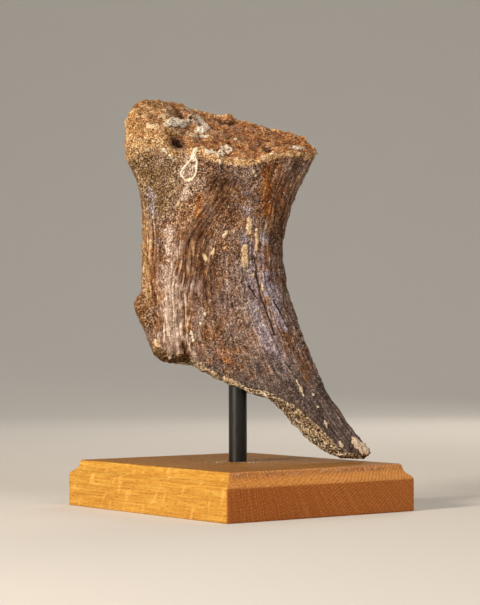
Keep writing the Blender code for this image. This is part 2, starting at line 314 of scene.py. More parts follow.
boneForm = {
    "around": 400,
    "lowerRows": 16,
    "sideRows": 192,
    "upperRows": 40,
    # Profiles that space the rows round both ends: half depth, rise and roundness
    "lowerProfile": (12, 2.5, 4),
    "upperProfile": (28, 4, 3.4),
    "leftSide": [
        (-46.6, 85), (-49.7, 95), (-51.5, 106), (-52.3, 118.5), (-52.2, 144), (-52.2, 160), (-52.8, 173.5),
        (-54.2, 185.6), (-57.4, 196.6), (-61, 206),
    ],
    "rightSide": [
        (72.5, 30.5), (68.9, 35.2), (54.6, 54.7), (45.8, 70.1), (39.2, 85.5), (34.2, 98.7), (29.8, 111.9),
        (26.5, 125.1), (24.9, 138.3), (25.4, 148), (30.2, 164.7), (37.4, 182.3), (43.8, 195.2),
    ],
    "topLine": [
        (-61, 206), (-60.4, 214), (-56.6, 220), (-48, 221), (-38, 217.2), (-25, 211), (-10, 206.4),
        (3.4, 203.4), (20, 200.2), (34, 198.3), (43.8, 195.2),
    ],
    "lowerLine": [
        (-46.6, 85), (-41, 81.5), (-34, 80.5), (-26, 79.5), (-17.5, 74.8), (-10.5, 70.6), (0, 66.2), (6, 63),
        (12.2, 61.7), (18, 59.4), (23.2, 55.6), (29, 51), (36, 44.3), (45, 36.2), (54, 30.4), (64, 28.1),
        (70.3, 28.6), (72.5, 30.5),
    ],
    "frontHalf": [(0, 10), (0.25, 16.5), (0.5, 20.5), (0.75, 24), (1, 29)],
    "backHalf": [(0, 9), (0.25, 15), (0.5, 20), (0.75, 25), (1, 30)],
    "edgePower": 0.85,
    "ridgePlace": [(0, 0.32), (0.25, 0.36), (0.5, 0.43), (0.75, 0.49), (1, 0.53)],
    "backPeak": 0.52,
    # How much thinner the tail is and how far it comes forward, and where across each begins
    "tailThinning": (0.4, 0.35),
    "tailForward": (9, 0.3),
    "tailPower": 1.5,
    "tiltBack": 0.48,
    "tiltFront": [(0, 0.48), (0.4, 0.5), (0.7, 0.46), (0.82, 0.26), (1, 0.16)],
    "tiltFrom": 0.72,
    "topRise": [(0, 12), (0.12, 14), (0.26, 10), (0.42, 3.5), (0.6, 2.2), (1, 2)],
    "topRound": (2, 4.5),  # roundness at the left and at the right, changing between these places
    "topRoundFrom": (0.15, 0.42),
    "lowerRise": [(0, 3), (0.2, 2), (1, 2.5)],
    "lowerSharp": 4,
    "lowerTilt": [
        (0, 0.35), (0.12, 0.4), (0.25, 0.15), (0.55, 0.15), (0.66, 0.55), (0.9, 0.6), (1, 0.3),
    ],
    "lowerTiltTo": 0.22,
    "flange": {"z": 112.5, "above": 4.5, "below": 13, "across": 0.07, "out": 4.6},
}

# Where the parts of the bone begin and are full: up and across from 0 to 1, under and over as angles
zoneEdges = {
    "capOver": (0, 0.6),
    "lobeUp": (0.84, 1),
    "lobeAcross": (0.3, 0.55),
    "rimUp": (0.97, 0.996),
    "rimFrom": (0.3, 0.45),
    "rimOver": (0.4, 1),
    "brokenUnder": (0.35, 0.9),
    "footUnder": (0.3, 0.55),
    "lipUp": (0.004, 0.018),
    "lipFrom": (0.25, 0.4),
    "lipTo": (0.6, 0.7),
    "footLipUp": (0.004, 0.014),
    "footEdgeUp": (0.002, 0.012),
    "tailSkin": (-0.2, 0.6),  # mm under the front skin's edge
    "tailHeight": (44, 112),  # mm above the table
}

# The fibres' own coordinates in mm: round the back, up the bone and over its top
flowSize = {
    "height": 250,  # mm, above every strand's top
    "backAcross": 100,
    "backFrom": 300,
    "up": 165,
    "over": 25,
    "wander": [(16, 1, 3), (5, 0.22, 4)],  # how the fibres bend: size and reach in mm, seed
}

# The fibres on the front run between these strands: place across the flow, then (x, z) down the strand
strands = [
    (0, [(-62.5, 206), (-55.5, 173.5), (-53.3, 144), (-53.3, 118.5), (-50.7, 95), (-47, 70)]),
    (13, [(-44, 200), (-45, 175), (-45, 150), (-44.5, 125), (-42, 100), (-41, 70)]),
    (24, [(-10, 188), (-20.3, 172.4), (-28.9, 158), (-33.3, 148.5), (-35.6, 137), (-36.5, 118),
          (-35.8, 70)]),
    (36, [(4, 184), (-3, 172), (-10.5, 163), (-17.3, 153.6), (-21, 145), (-23.3, 134),
          (-25.2, 115), (-25.5, 90), (-25, 60)]),
    (47, [(10, 190), (3, 172), (-4, 158), (-9, 148), (-12, 135), (-13, 118),
          (-12, 100), (-8, 80), (-4, 60)]),
    (60, [(14, 195), (9, 170), (5, 150), (3, 135), (4, 120), (8, 100),
          (14, 82), (24, 64), (40, 44), (52, 30)]),
    (66, [(20, 195), (14, 170), (9.5, 148), (8.5, 134), (10.6, 122), (13.3, 113.7),
          (16.5, 100), (20.9, 92), (24.4, 84), (33, 68), (46, 50), (60, 30)]),
    (75, [(32, 195), (24, 175), (18, 155), (16.5, 138), (18, 122), (22.5, 105),
          (28, 91), (38, 73), (52, 52), (66, 31)]),
    (90, [(44.6, 195), (30.3, 165), (26.2, 148), (25.9, 138), (27.5, 125), (30.8, 112),
          (35.2, 99), (40.2, 85.5), (46.8, 70), (55.6, 55), (73.5, 30)]),
]

# Strokes of relief in mm: side, then from and to, as (x, z) on front and back and (x, y) on the cap,
# then radius and height.
boneStrokes = {
    "front": [
        (-31.6, 198.8, -31.6, 198.8, 4, -5),  # nutrient hole
        (-33, 190, -27, 184, 9, -1.2),  # shallow dish below it
        (-14, 188, -26, 148, 11, 1.3),  # fold that runs down from the rim
        (-26, 148, -36, 116, 9, 1.2),  # its lower part
        (-36.8, 116, -37.4, 84, 6.6, 1.9),  # column that it ends in
        (-46.4, 112, -46, 90, 2.8, -1.6),  # groove between column and flange
        (-27, 104, -26, 80, 4.5, -0.7),  # groove on the column's right
        (0, 176, 18, 173, 13, -2),  # hollow under the front rim
        (13, 152, 20, 98, 7, 1.2),  # low ridge towards the tail
        (4, 146, 11, 100, 5, -0.9),  # groove beside it
        (2, 90, 15, 78, 12, -1.2),  # dish over the lower edge
    ],
    "back": [
        (-18, 172, 4, 118, 15, -2.6),  # long hollow of the inner face
        (-38, 185, -42, 115, 8, 1.6),  # ridge down its outer side
        (12, 150, 26, 90, 8, 1.4),  # ridge towards the tail
        (-6, 148, -6, 148, 3.5, -3.4),  # nutrient hole
        (-22, 98, -10, 88, 11, -1.8),  # dish over the lower edge
    ],
    "cap": [
        (-30.6, 4, -33.4, 17, 2, -3),  # cleft behind the left knob
        (-25.6, 7, -26, 11, 3.2, 2.6),  # knob right of the cleft
        (-24, 23, -12, 26, 5, -1.6),  # saddle behind it
        (-5, 27, -3, 28, 2.6, 1.4),  # nub on the back rim
        (-50, 9, -50, 9, 2.8, 1.6),  # nub on the left knob
        (-8, 18.5, -2, 20, 4.6, -3),  # hollow near the back rim
        (13.5, -14, 18, -13, 3.4, -3.2),  # pit near the front rim
        (1, 25, 1, 29, 2.4, -2),  # notch in the back rim
        (17.8, 22, 17.8, 32, 1.9, -4.2),  # notch in the back rim
        (28, -2, 32, 6, 6, -1.4),  # dish at the right
        (-12, -8, -6, -12, 7, 1.2),  # swelling by the front rim
    ],
}
fineStrokes = {
    "front": [
        (-31.4, 198.6, -31.4, 198.6, 2.6, -5),  # the nutrient hole's throat
        (-28.4, 94, -25.8, 88.8, 1.7, 1),  # splinter right of the column's foot
        (-25.8, 88.8, -22.6, 83, 2, 1.5),  # its middle
        (-22.6, 83, -18.4, 76.8, 2, 1.2),  # its lower end
        (-29.6, 90, -26.2, 82.5, 1.2, -1.8),  # gap between column and splinter
        (-22.8, 90.5, -18.6, 83, 1.6, -0.8),  # groove on the splinter's right
    ],
    "cap": [
        (-25.8, 4.8, -25.8, 4.8, 0.9, -2),  # hole bored by a shellfish
    ],
}
# Holes whose insides are painted dark, as painted shade: side, from, to, radius
darkHoles = {"front": [(-31.4, 199.4, -31.4, 199.4, 4.8)], "back": [(-6, 148, -6, 148, 2)]}
# The small hole bored in the knob, with painted shade inside: x, z, radius, and how far back it is looked
# for
boredHole = (-25.6, 215.1, 1.6, 12)
# Cracks, as routes of (x, z) on the front
cracks = [
    [(8.7, 137.8), (10, 131.4), (10.8, 124.4), (11.9, 117.4), (13.2, 113.1), (15.4, 108.3),
     (17.5, 103.4), (20.2, 94.8)],
    [(6.4, 121.2), (7.8, 118.8), (9.6, 115.6)],
    [(19.6, 113.6), (21.6, 109.5), (24, 106.5)],
]
crackSize = {"width": 0.5, "depth": 0.8, "wander": 0.5}
# The base of a shell that grew on the bone, as a closed route on the front
shellRing = [
    (-24.1, 189.9), (-25.9, 187.7), (-28.7, 184.8), (-30.2, 181.9), (-28.7, 179.4), (-26.6, 178),
    (-24.4, 178.7), (-22.6, 180.5), (-21.7, 184.8), (-21.9, 189.4), (-23, 190.6),
]
ringSize = {"halfWidth": 0.75, "height": 0.6, "steps": 34}
# The hollow under the column's foot: the front skin's scalloped edge, then its ends and depth
footHollow = {
    "edge": [
        (-47, 90), (-45.8, 89.2), (-43.7, 88.4), (-41.9, 87.4), (-40.2, 85.5), (-37.6, 83.6), (-34.3, 83.3),
        (-32.2, 84.9), (-30, 85.2), (-27, 84.2),
    ],
    "left": -46.6,
    "right": (-28.6, 85.5, 0.5),
    "backTo": -9,
    "lip": 2.4,
    "lipFrom": (1, 6),
    # How softly it begins at the skin's edge, at its right and at its left, in mm
    "edges": [(0, 0.9), (-0.4, 0.6), (0, 1.5)],
}
# The broken face along the tail: the skin's edge on the front, and how steeply the face falls back
tailBreak = {
    "edge": [
        (20.5, 60.6), (23.8, 58.7), (29.3, 56), (36.7, 52), (42.2, 46.5), (47.7, 41.5), (52, 36.6),
        (55.1, 33), (60, 29),
    ],
    "fall": 0.72,
    "from": (19, 27),
    "to": (54, 60),
}
# Cream growths and stains: side, from, to, half width, all in mm
creamMarks = {
    "front": [
        (6.4, 157, 6.4, 150.5, 1.6), (4.2, 142.5, 4.2, 133, 1.8), (10.6, 151.5, 10.6, 141, 1),
        (-5.6, 150.6, -7, 148, 1.1), (-1.9, 150.6, -1.9, 150.6, 1.1), (-12.6, 141.2, -13.4, 138.8, 0.8),
        (-17.6, 137.6, -16.9, 135.6, 1), (8.5, 128.3, 8.6, 126.3, 0.8), (13.6, 121.6, 13.7, 119.4, 0.6),
        (-31.5, 166.5, -32, 164.5, 0.8), (-9.9, 138.3, -10.4, 135.8, 0.4), (9.4, 182.6, 9.9, 180.8, 1),
        (31.8, 70.8, 33.6, 66.8, 0.4), (-44.6, 92.2, -43.4, 89.2, 1), (-7.4, 71.6, 0.6, 68.4, 1),
        (-18, 76.8, -12, 73.8, 0.8),
    ],
    "notBack": [
        (-47.8, 208.4, -43.4, 207.6, 1.6), (-42.2, 214.2, -37.8, 214.6, 0.8),
        (-26.4, 216.6, -25.4, 212.8, 1.6), (-26.2, 205, -22.4, 202.6, 1.4),
    ],
    "back": [
        (-12, 159, -12, 155, 1.1), (2, 128, 3, 124, 1.2), (-24, 134, -24.5, 131, 1.1),
        (-28, 187.4, -26, 188.6, 0.8), (18, 104, 19, 101, 0.8),
    ],
}
whiteMarks = {
    "notBack": [
        (-9.2, 194, -7, 196.2, 1.3), (-6.4, 196.4, -3.6, 196, 1.5), (-5.6, 194.4, -3.4, 194.2, 0.9),
        (-8.4, 193.2, -7.6, 192.2, 1), (-10.2, 193.4, -10.2, 190.6, 1.1), (-10.2, 190.6, -8.7, 186.8, 0.9),
        (-16.6, 193.4, -11, 192.8, 1), (-1.2, 201.2, -0.4, 201.8, 0.9), (-25.4, 202.6, -21.2, 201.6, 0.6),
    ],
    "front": [
        (-22.3, 193.8, -23.6, 189.4, 1.5), (-36, 184.2, -36, 184.2, 0.6), (-27.4, 184.6, -28.4, 182.4, 0.3),
        (-26.6, 178.3, -25, 178.7, 0.9), (34.2, 66.2, 36, 61.6, 0.7), (41, 62.6, 41.8, 61.6, 0.7),
        (42.6, 57.4, 43.4, 55.6, 0.8), (47.4, 48, 48.2, 44.6, 0.8),
    ],
    "back": [(-36, 191.4, -34.8, 190.6, 0.6)],
}
greyMarks = {
    "notBack": [
        (-38.2, 209, -35.8, 211.6, 1.8), (-35.2, 212, -31.8, 212.4, 2), (-31.4, 211.6, -29.4, 210.4, 1.7),
        (-35.4, 209.6, -33, 209.4, 1.1), (-27.2, 212.4, -24.6, 212.6, 1), (-23, 214.8, -19.5, 213.4, 1.2),
        (-19.5, 213.2, -16.8, 210.6, 1.4), (-16.4, 210.4, -16, 208.4, 1.1),
        (-16.8, 207.8, -18.4, 206.6, 1.2), (-19.4, 206.4, -22.4, 206.8, 1.2),
        (-22.2, 209.6, -21.8, 208.4, 0.9), (-22.2, 212, -22, 211.4, 0.8), (-20.4, 209.6, -19, 209.4, 0.7),
        (-19.6, 203.8, -16.2, 202.2, 0.9), (-40.6, 218.2, -39.6, 217.6, 0.8), (30, 198.8, 34.4, 197.6, 2.3),
    ],
    "front": [
        (-39.4, 194.4, -38, 193.4, 0.7), (-36, 191.6, -35.2, 190.4, 0.7), (63.8, 36.6, 69.4, 31.4, 2.2),
        (-45.2, 162, -45.2, 161.6, 0.6), (55.6, 36.4, 56.4, 34.6, 0.9), (-24.9, 96, -23.8, 92.4, 1),
        (-20.1, 101.4, -20.1, 100.8, 0.8), (-17.6, 106.8, -17.6, 106.4, 0.6),
        (-22.5, 106.8, -22.5, 106.4, 0.6),
    ],
    "back": [(-38, 199, -36, 202, 1), (40, 64, 46, 56, 1.4)],
}
# How a mark fades behind the surface that it lies on, in mm and per mm, and the raggedness of its edge as
# size in mm, height and seed
markEdge = {"fadeFrom": 7, "fade": 0.3, "ragged": [(1.8, 1, 94), (4, 0.7, 95)]}
# Soft areas: side, from, to, radius, strength
softAreas = {
    "pale": {
        "front": [
            # The first two are a painted highlight along the scalloped lip over the foot's hollow
            (-46, 91, -40.4, 87.4, 1.5, 0.9), (-40.4, 87.4, -34.4, 85, 1.5, 0.9),
            (-37, 150, -36.4, 119, 5, 0.8), (-35, 119, -34.6, 84, 6.6, 1.15), (-25, 188, -28, 170, 6, 0.8),
            (-28.2, 94, -18.2, 76.5, 2.4, 0.75), (-28, 168, -36, 150, 4, 0.5),
        ],
        "back": [(-38, 150, -40, 100, 7, 0.7)],
    },
    "ochre": {
        "all": [
            (-48, 206, -40, 203, 9, 1), (-46, 206, -36, 214, 6, 0.9), (-50, 158, -48.5, 112, 4.5, 0.72),
            (-47, 112, -47, 94, 3, 0.3),
        ],
        "cap": [(-11, 212.5, 1, 209, 3.4, 0.8), (14, 200, 34, 203.6, 3.6, 0.9)],
        "front": [(-8, 193.5, 10, 191.5, 3.4, 1), (8, 191, 30, 193, 1.6, 0.7)],
        "back": [(-36, 204, -28, 198, 9, 0.6)],
    },
    "olive": {
        "all": [(-52, 190, -44, 168, 12, 1.1)],
        "front": [(-34, 196, -36, 176, 9, 0.8)],
        "back": [(-40, 186, -38, 166, 9, 0.5)],
    },
    "rust": {
        "front": [
            (16.2, 184, 16.4, 161, 3.2, 1.2), (19, 186, 24, 168, 7, 0.62), (-20.6, 170, -21.4, 159, 2.6, 1),
            (-17.4, 99, -17.4, 94, 2.8, 0.75), (8.1, 96, 8.1, 92, 3.4, 0.7), (-10, 86, -2, 78, 5, 0.55),
            (-12, 94, -9, 90, 3, 0.5),
        ],
        "all": [(-46, 140, -45.5, 112, 3.2, 0.62), (31.5, 118, 38, 92, 2, 0.75)],
        "back": [
            (10, 178, 8, 160, 3.5, 0.9), (-14, 96, -4, 86, 5, 0.7), (-44, 126, -44, 108, 4, 0.7),
            (20, 140, 24, 120, 3, 0.6),
        ],
    },
    # A lavender tint along the crack and down the tail, partly a painted sheen
    "violet": {
        "notBack": [(-33, 222, -31.8, 219.6, 2.2, 0.8)],
        "front": [
            (-46.4, 173.5, -45.4, 161, 3.4, 0.7), (4, 148, 8, 126, 4, 0.6), (8, 130, 11, 104, 5, 0.75),
            (11.1, 100, 20.3, 85.5, 4.5, 1), (20.3, 85.5, 33.8, 59.4, 5, 0.85), (13, 148, 15, 122, 3.4, 0.7),
            (16, 124, 22, 104, 4.5, 0.9), (11.1, 97, 17, 88, 2.6, 1.2), (0, 172, 6, 160, 6, 0.45),
            (13.6, 134, 18.6, 113.6, 3, 0.9), (18.6, 113.6, 25, 98, 3, 0.9),
        ],
        "back": [(0, 140, 14, 90, 9, 0.6)],
    },
    "mauve": {
        "front": [
            (-22, 122, -21, 96, 5, 0.7), (-8, 112, 2, 92, 8, 0.7), (3, 126, 13, 92, 12, 1.05),
            (12, 92, 28, 68, 13, 1.1), (18, 126, 26, 100, 7, 0.9), (-16, 84, 14, 72, 6, 0.6),
            (6, 182, 10, 150, 6, 0.6), (-10, 184, 4, 178, 4, 0.4),
        ],
        "all": [(33, 96, 46, 64, 7.5, 0.8)],
        "back": [(6, 130, 20, 90, 14, 0.7)],
    },
    # Painted shade in and by the cleft behind the left knob, in a hollow and a pit on the cap, and in bands
    # across the cap
    "shade": {
        "notBack": [(-33, 221, -29.2, 214, 2, 1), (-30, 206, -26, 208, 2.2, 0.6)],
        "cap": [
            (-9, 213.6, -3, 212.8, 2.6, 1), (14, 195.8, 17, 195.4, 2.6, 0.9),
            (-20, 217, 24, 203.6, 2.4, 0.5), (0, 203, 12, 201, 3, 0.5),
        ],
    },
    "blush": {
        "notBack": [
            (-26.6, 219.4, -25.6, 214, 4.2, 1.7), (-38.6, 220.4, -36.8, 219.4, 2.4, 0.9),
            (-51.2, 212.8, -49.5, 211.5, 2.6, 0.8), (-46, 216.4, -45.2, 216.2, 2, 0.7),
            (-40.5, 214.4, -39.5, 214, 1.8, 0.6), (-48.5, 208.5, -42, 207, 2.6, 0.7),
            (-13, 207.5, -8, 204, 4, 0.6), (-32, 206.4, -24, 203, 2.4, 0.6),
            (-25.6, 204.4, -21.4, 201.4, 2.4, 0.9),
        ],
        "cap": [(-4, 210.4, 20, 207, 3, 0.5), (4, 206, 10, 202, 3, 0.4), (28, 199.6, 36, 197.4, 2, 0.5)],
    },
    # Darker areas: partly painted shade under the front rim, round the nutrient holes, beside the fold, in
    # the back's hollow and along the right edge, and partly dark stains
    "dark": {
        "front": [
            (-12, 182, -5, 160, 8.5, 1), (22, 188, 32, 190, 5, 0.6), (-30, 199, -30, 197, 5.5, 0.9),
            (-17, 118, -13, 108, 6, 0.8), (-21, 158, -17, 112, 7.5, 0.8), (-14, 136, -10, 128, 5, 0.6),
        ],
        "all": [(24, 164, 27, 118, 4.5, 0.85), (34, 96, 60, 46, 3, 0.6)],
        "back": [(0, 176, -6, 150, 10, 0.7)],
    },
    # Where the surface is drawn out into long ridges
    "fibrous": {
        "front": [
            (-6, 176, -24, 148, 7, 0.9), (-26, 146, -30, 86, 9, 1), (-16, 140, -17, 120, 6, 0.8),
            (14, 150, 18, 100, 7, 0.5), (18, 100, 56, 42, 8, 0.35), (-40, 116, -40, 86, 6, 1),
            (-8, 116, 20, 72, 10, 0.25),
        ],
        "all": [(-47, 160, -45, 118, 5, 0.7), (30, 184, 24, 160, 7, 0.6)],
        "back": [(-30, 170, -20, 100, 16, 0.8), (14, 160, 40, 70, 14, 0.7)],
    },
    # Where no fibres show, so that the surface is only gritty
    "gritty": {
        "all": [(-48, 200, -34, 172, 14, 1)],
        "front": [(-20, 196, 4, 186, 6, 0.8)],
        "back": [(-30, 200, -20, 194, 9, 0.8)],
    },
    # Where pale crumbs cling to it: pale specks that are partly painted glints
    "crumbs": {
        "front": [
            (-42, 196, -20, 182, 10, 0.9), (-16, 192, 4, 190, 4, 1), (4, 190, 30, 192, 2.4, 1),
            (-36, 176, -30, 166, 8, 0.6), (0, 128, 8, 100, 7, 0.7), (-12, 130, -4, 126, 6, 0.5),
            (-20, 110, -18, 96, 4, 0.6),
        ],
        "notBack": [(-36, 206, -14, 204, 6, 1)],
        "all": [(-48, 130, -47, 104, 4, 0.8), (-54, 112, -46, 96, 4, 0.5)],
        "back": [(-30, 190, 10, 186, 9, 0.8)],
        "cap": [(-4, 196, 20, 196, 5, 0.6)],
    },
}


def evenAngles(steps, width, rise, roundness):
    # Angles from the side to the seam that make even steps along an end's profile.
    angle = np.linspace(0, np.pi / 2, 2000)
    profile = np.stack([width * np.cos(angle) ** (2 / roundness), rise * np.sin(angle) ** (2 / roundness)])
    reach = np.concatenate([[0], np.cumsum(np.hypot(*np.diff(profile, axis=1)))])
    return np.interp(np.linspace(0, reach[-1], steps + 1), reach, angle)[1:]


def boneGrid():
    # Across (0 left, 1 right), up (0 lower edge, 1 top), side (-1 front), and the angles round both ends.
    f = boneForm
    turn = np.arange(f["around"]) / f["around"] * 2 * np.pi
    across = np.clip((1 - np.cos(turn)) / 2, 0, 1)
    side = np.where((turn > 0) & (turn < np.pi), -1.0, 1.0)
    under = evenAngles(f["lowerRows"], *f["lowerProfile"])[::-1]
    over = evenAngles(f["upperRows"], *f["upperProfile"])
    middle = np.linspace(0, 1, f["sideRows"] + 1)
    up = np.concatenate([np.zeros(f["lowerRows"]), middle, np.ones(f["upperRows"])])
    under = np.concatenate([under, np.zeros(len(middle) + f["upperRows"])])
    over = np.concatenate([np.zeros(f["lowerRows"] + len(middle)), over])
    grid = np.zeros((len(up), f["around"]))
    return grid + across, grid + up[:, None], grid + side, grid + under[:, None], grid + over[:, None]


def lens(across, peak):
    # A section's depth, from 0 at both sides to 1 at its peak.
    left, right = peak * boneForm["edgePower"], (1 - peak) * boneForm["edgePower"]
    return across**left * (1 - across) ** right / (peak**left * (1 - peak) ** right)


def boneMiddle(across, up, under, over):
    # The bone's middle surface, stretched between its four outlines, and how the ends close.
    f = boneForm
    top, low = along(f["topLine"], across), along(f["lowerLine"], across)
    ahead, behind = (along(f["lowerLine"], np.clip(across + step, 0, 1)) for step in (0.02, -0.02))
    ahead = ahead - behind
    ahead /= np.linalg.norm(ahead, axis=-1, keepdims=True)
    outward = np.stack([ahead[..., 1], -ahead[..., 0]], -1)
    inside = smoothStep(np.minimum(across, 1 - across), 0, 0.03)
    topRise, lowRise = graph(f["topRise"], across) * inside, graph(f["lowerRise"], across) * inside
    topSide = top - np.stack([np.zeros_like(across), topRise], -1)
    lowSide = low - outward * lowRise[..., None]
    s, t = across[..., None], up[..., None]
    middle = (1 - t) * lowSide + t * topSide
    for key, share in (("leftSide", 1 - s), ("rightSide", s)):
        corners = (1 - t) * np.array(f[key][0]) + t * np.array(f[key][-1])
        middle = middle + share * (along(f[key], up) - corners)
    left, right = f["topRound"]
    roundness = left + (right - left) * smoothStep(across, *f["topRoundFrom"])
    middle = middle + outward * (lowRise * np.sin(under) ** (2 / f["lowerSharp"]))[..., None]
    middle[..., 1] += topRise * np.sin(over) ** (2 / roundness)
    closing = np.cos(under) ** (2 / f["lowerSharp"]) * np.cos(over) ** (2 / roundness)
    return middle, outward, closing


def boneSurface():
    # Smooth form: the middle surface, plus a lens-shaped depth to front and back, with leaning ends.
    f = boneForm
    across, up, side, under, over = boneGrid()
    middle, outward, closing = boneMiddle(across, up, under, over)
    front = side < 0
    half = np.where(front, graph(f["frontHalf"], up), graph(f["backHalf"], up))
    thinning, begins = f["tailThinning"]
    half = half * (1 - thinning * smoothStep(across, begins, 1) * (1 - up) ** f["tailPower"])
    shape = np.where(front, lens(across, graph(f["ridgePlace"], up)), lens(across, f["backPeak"]))
    y = side * shape * closing * half
    tilt = np.where(front, graph(f["tiltFront"], across), f["tiltBack"])
    lowLean = graph(f["lowerTilt"], across) * below(up, 0, f["lowerTiltTo"]) * y
    x = middle[..., 0] + outward[..., 0] * lowLean
    z = middle[..., 1] + outward[..., 1] * lowLean + tilt * smoothStep(up, f["tiltFrom"], 1) * y
    reach = np.where(z > f["flange"]["z"], f["flange"]["above"], f["flange"]["below"])
    atFlange = (z - f["flange"]["z"]) / reach
    x = x - f["flange"]["out"] * bump(atFlange, 1) * below(across, 0, f["flange"]["across"]) * (up < 1)
    forward, begins = f["tailForward"]
    y = y - forward * smoothStep(across, begins, 1) * (1 - up) ** f["tailPower"]
    hollow = front * hollowShare(x, z)
    y = y * (1 - hollow) + np.maximum(y, footHollow["backTo"]) * hollow
    lip = footHollow["lip"] * hollow * smoothStep(x - footHollow["left"], *footHollow["lipFrom"])
    e = zoneEdges
    y = y - lip * below(up, *e["footEdgeUp"]) * np.cos(under) ** 2
    t = tailBreak
    underSkin = np.interp(x, *np.array(t["edge"]).T) - z
    atTail = smoothStep(x, *t["from"]) * below(x, *t["to"])
    y = y + front * atTail * t["fall"] * np.maximum(underSkin, 0) * closing
    rim = smoothStep(under, *e["brokenUnder"]) * (1 - hollow) + smoothStep(under, *e["footUnder"]) * hollow
    lip = front * below(up, *e["lipUp"]) * smoothStep(across, *e["lipFrom"]) * (1 - hollow)
    rim = np.maximum(rim, lip * below(across, *e["lipTo"]))
    rim = np.maximum(rim, 0.9 * hollow * below(up, *e["footLipUp"]))
    zones = {
        "front": front.astype(float),
        "back": (~front & (over == 0)).astype(float),
        "notBack": (front | (over > 0)).astype(float),
        "all": np.ones_like(y),
        "cap": smoothStep(over, *e["capOver"]),
        "lobe": smoothStep(up, *e["lobeUp"]) * below(across, *e["lobeAcross"]),
        "rim": smoothStep(up, *e["rimUp"]) * smoothStep(across, *e["rimFrom"]) * below(over, *e["rimOver"]),
        "broken": np.maximum(rim, front * atTail * smoothStep(underSkin, *e["tailSkin"])),
        "hollow": hollow,
        "flange": bump(atFlange, 1.3) * below(across, 0.02, f["flange"]["across"]),
    }
    f = flowSize
    flowAcross = np.where(front, strandPlace(x, z), across * f["backAcross"] + f["backFrom"])
    flow = np.stack([flowAcross, up * f["up"] + over * f["over"]], -1)
    return np.stack([x, y, z], -1), zones, flow


def strandPlace(x, z):
    # How far across the fibres a point is: between two strands it grows evenly.
    lines = []
    for _, route in strands:
        table = [(height / flowSize["height"], side) for side, height in reversed(route)]
        lines.append(graph(table, np.clip(z / flowSize["height"], table[0][0], table[-1][0])))
    total = np.zeros_like(x)
    for k in range(len(strands) - 1):
        share = np.clip((x - lines[k]) / np.maximum(lines[k + 1] - lines[k], 0.5), 0, 1)
        total += share * (strands[k + 1][0] - strands[k][0])
    return total


def hollowShare(x, z):
    # 1 in the hollow under the column's foot, below the front skin's edge, and 0 outside it.
    f = footHollow
    rightX, rightZ, slope = f["right"]
    atEdge, atRight, atLeft = f["edges"]
    under = smoothStep(np.interp(x, *np.array(f["edge"]).T) - z, *atEdge)
    inside = smoothStep(rightX + (rightZ - z) * slope - x, *atRight) * smoothStep(x - f["left"], *atLeft)
    return under * inside


def gapsOf(points, table, capAxis=2):
    # For each row of a table by zone: its zone, how far each point is from it, and its other numbers.
    for zone, rows in table.items():
        v = points[..., capAxis if zone == "cap" else 2]
        for row in rows:
            yield zone, lineGap(points[..., 0], v, *row[:4]), *row[4:]


def strokeSum(points, zones, table):
    # Bells of each stroke's radius and height round its line, added up where its zone is.
    total = np.zeros(points.shape[:-1])
    for where, gap, radius, height in gapsOf(points, table, capAxis=1):
        total += zones[where] * height * bump(gap, radius)
    return total


def softArea(points, zones, table):
    # The strongest of the table's areas at each point.
    total = np.zeros(points.shape[:-1])
    for where, gap, radius, strength in gapsOf(points, table):
        total = np.maximum(total, zones[where] * strength * bump(gap, radius))
    return total


def markDepth(points, zones, table):
    # How far inside the nearest mark each point is, in mm, and negative outside. A mark fades a little way
    # behind the nearest part of the surface that it lies on.
    depth = np.full(points.shape[:-1], outside)
    for where, gap, halfWidth in gapsOf(points, table):
        inside = halfWidth - gap
        away = points[..., 1] * (-1 if where == "back" else 1)
        nearest = np.min(np.where((inside > 0) & (zones[where] > 0.5), away, farAway))
        inside = inside - markEdge["fade"] * np.maximum(away - nearest - markEdge["fadeFrom"], 0)
        depth = np.maximum(depth, np.where(zones[where] > 0.5, inside, outside))
    return depth


def ringGap(points):
    # Distance to the closed ring in mm, negative inside it, from how far the ring turns round each point.
    route = along([*shellRing, shellRing[0]], np.linspace(0, 1, ringSize["steps"]))
    gap = np.full(points.shape[:-1], farAway)
    turns = np.zeros_like(gap)
    x, z = points[..., 0], points[..., 2]
    for (fromX, fromZ), (toX, toZ) in zip(route, route[1:]):
        gap = np.minimum(gap, lineGap(x, z, fromX, fromZ, toX, toZ))
        turned = (fromX - x) * (toZ - z) - (fromZ - z) * (toX - x)
        turns += np.arctan2(turned, (fromX - x) * (toX - x) + (fromZ - z) * (toZ - z))
    return np.where(np.abs(turns) > np.pi, -gap, gap)


def routeGap(points, route):
    # Distance to the nearest of a route's straight steps, as seen from the front.
    steps = [lineGap(points[..., 0], points[..., 2], *a, *b) for a, b in zip(route, route[1:])]
    return np.minimum.reduce(steps)


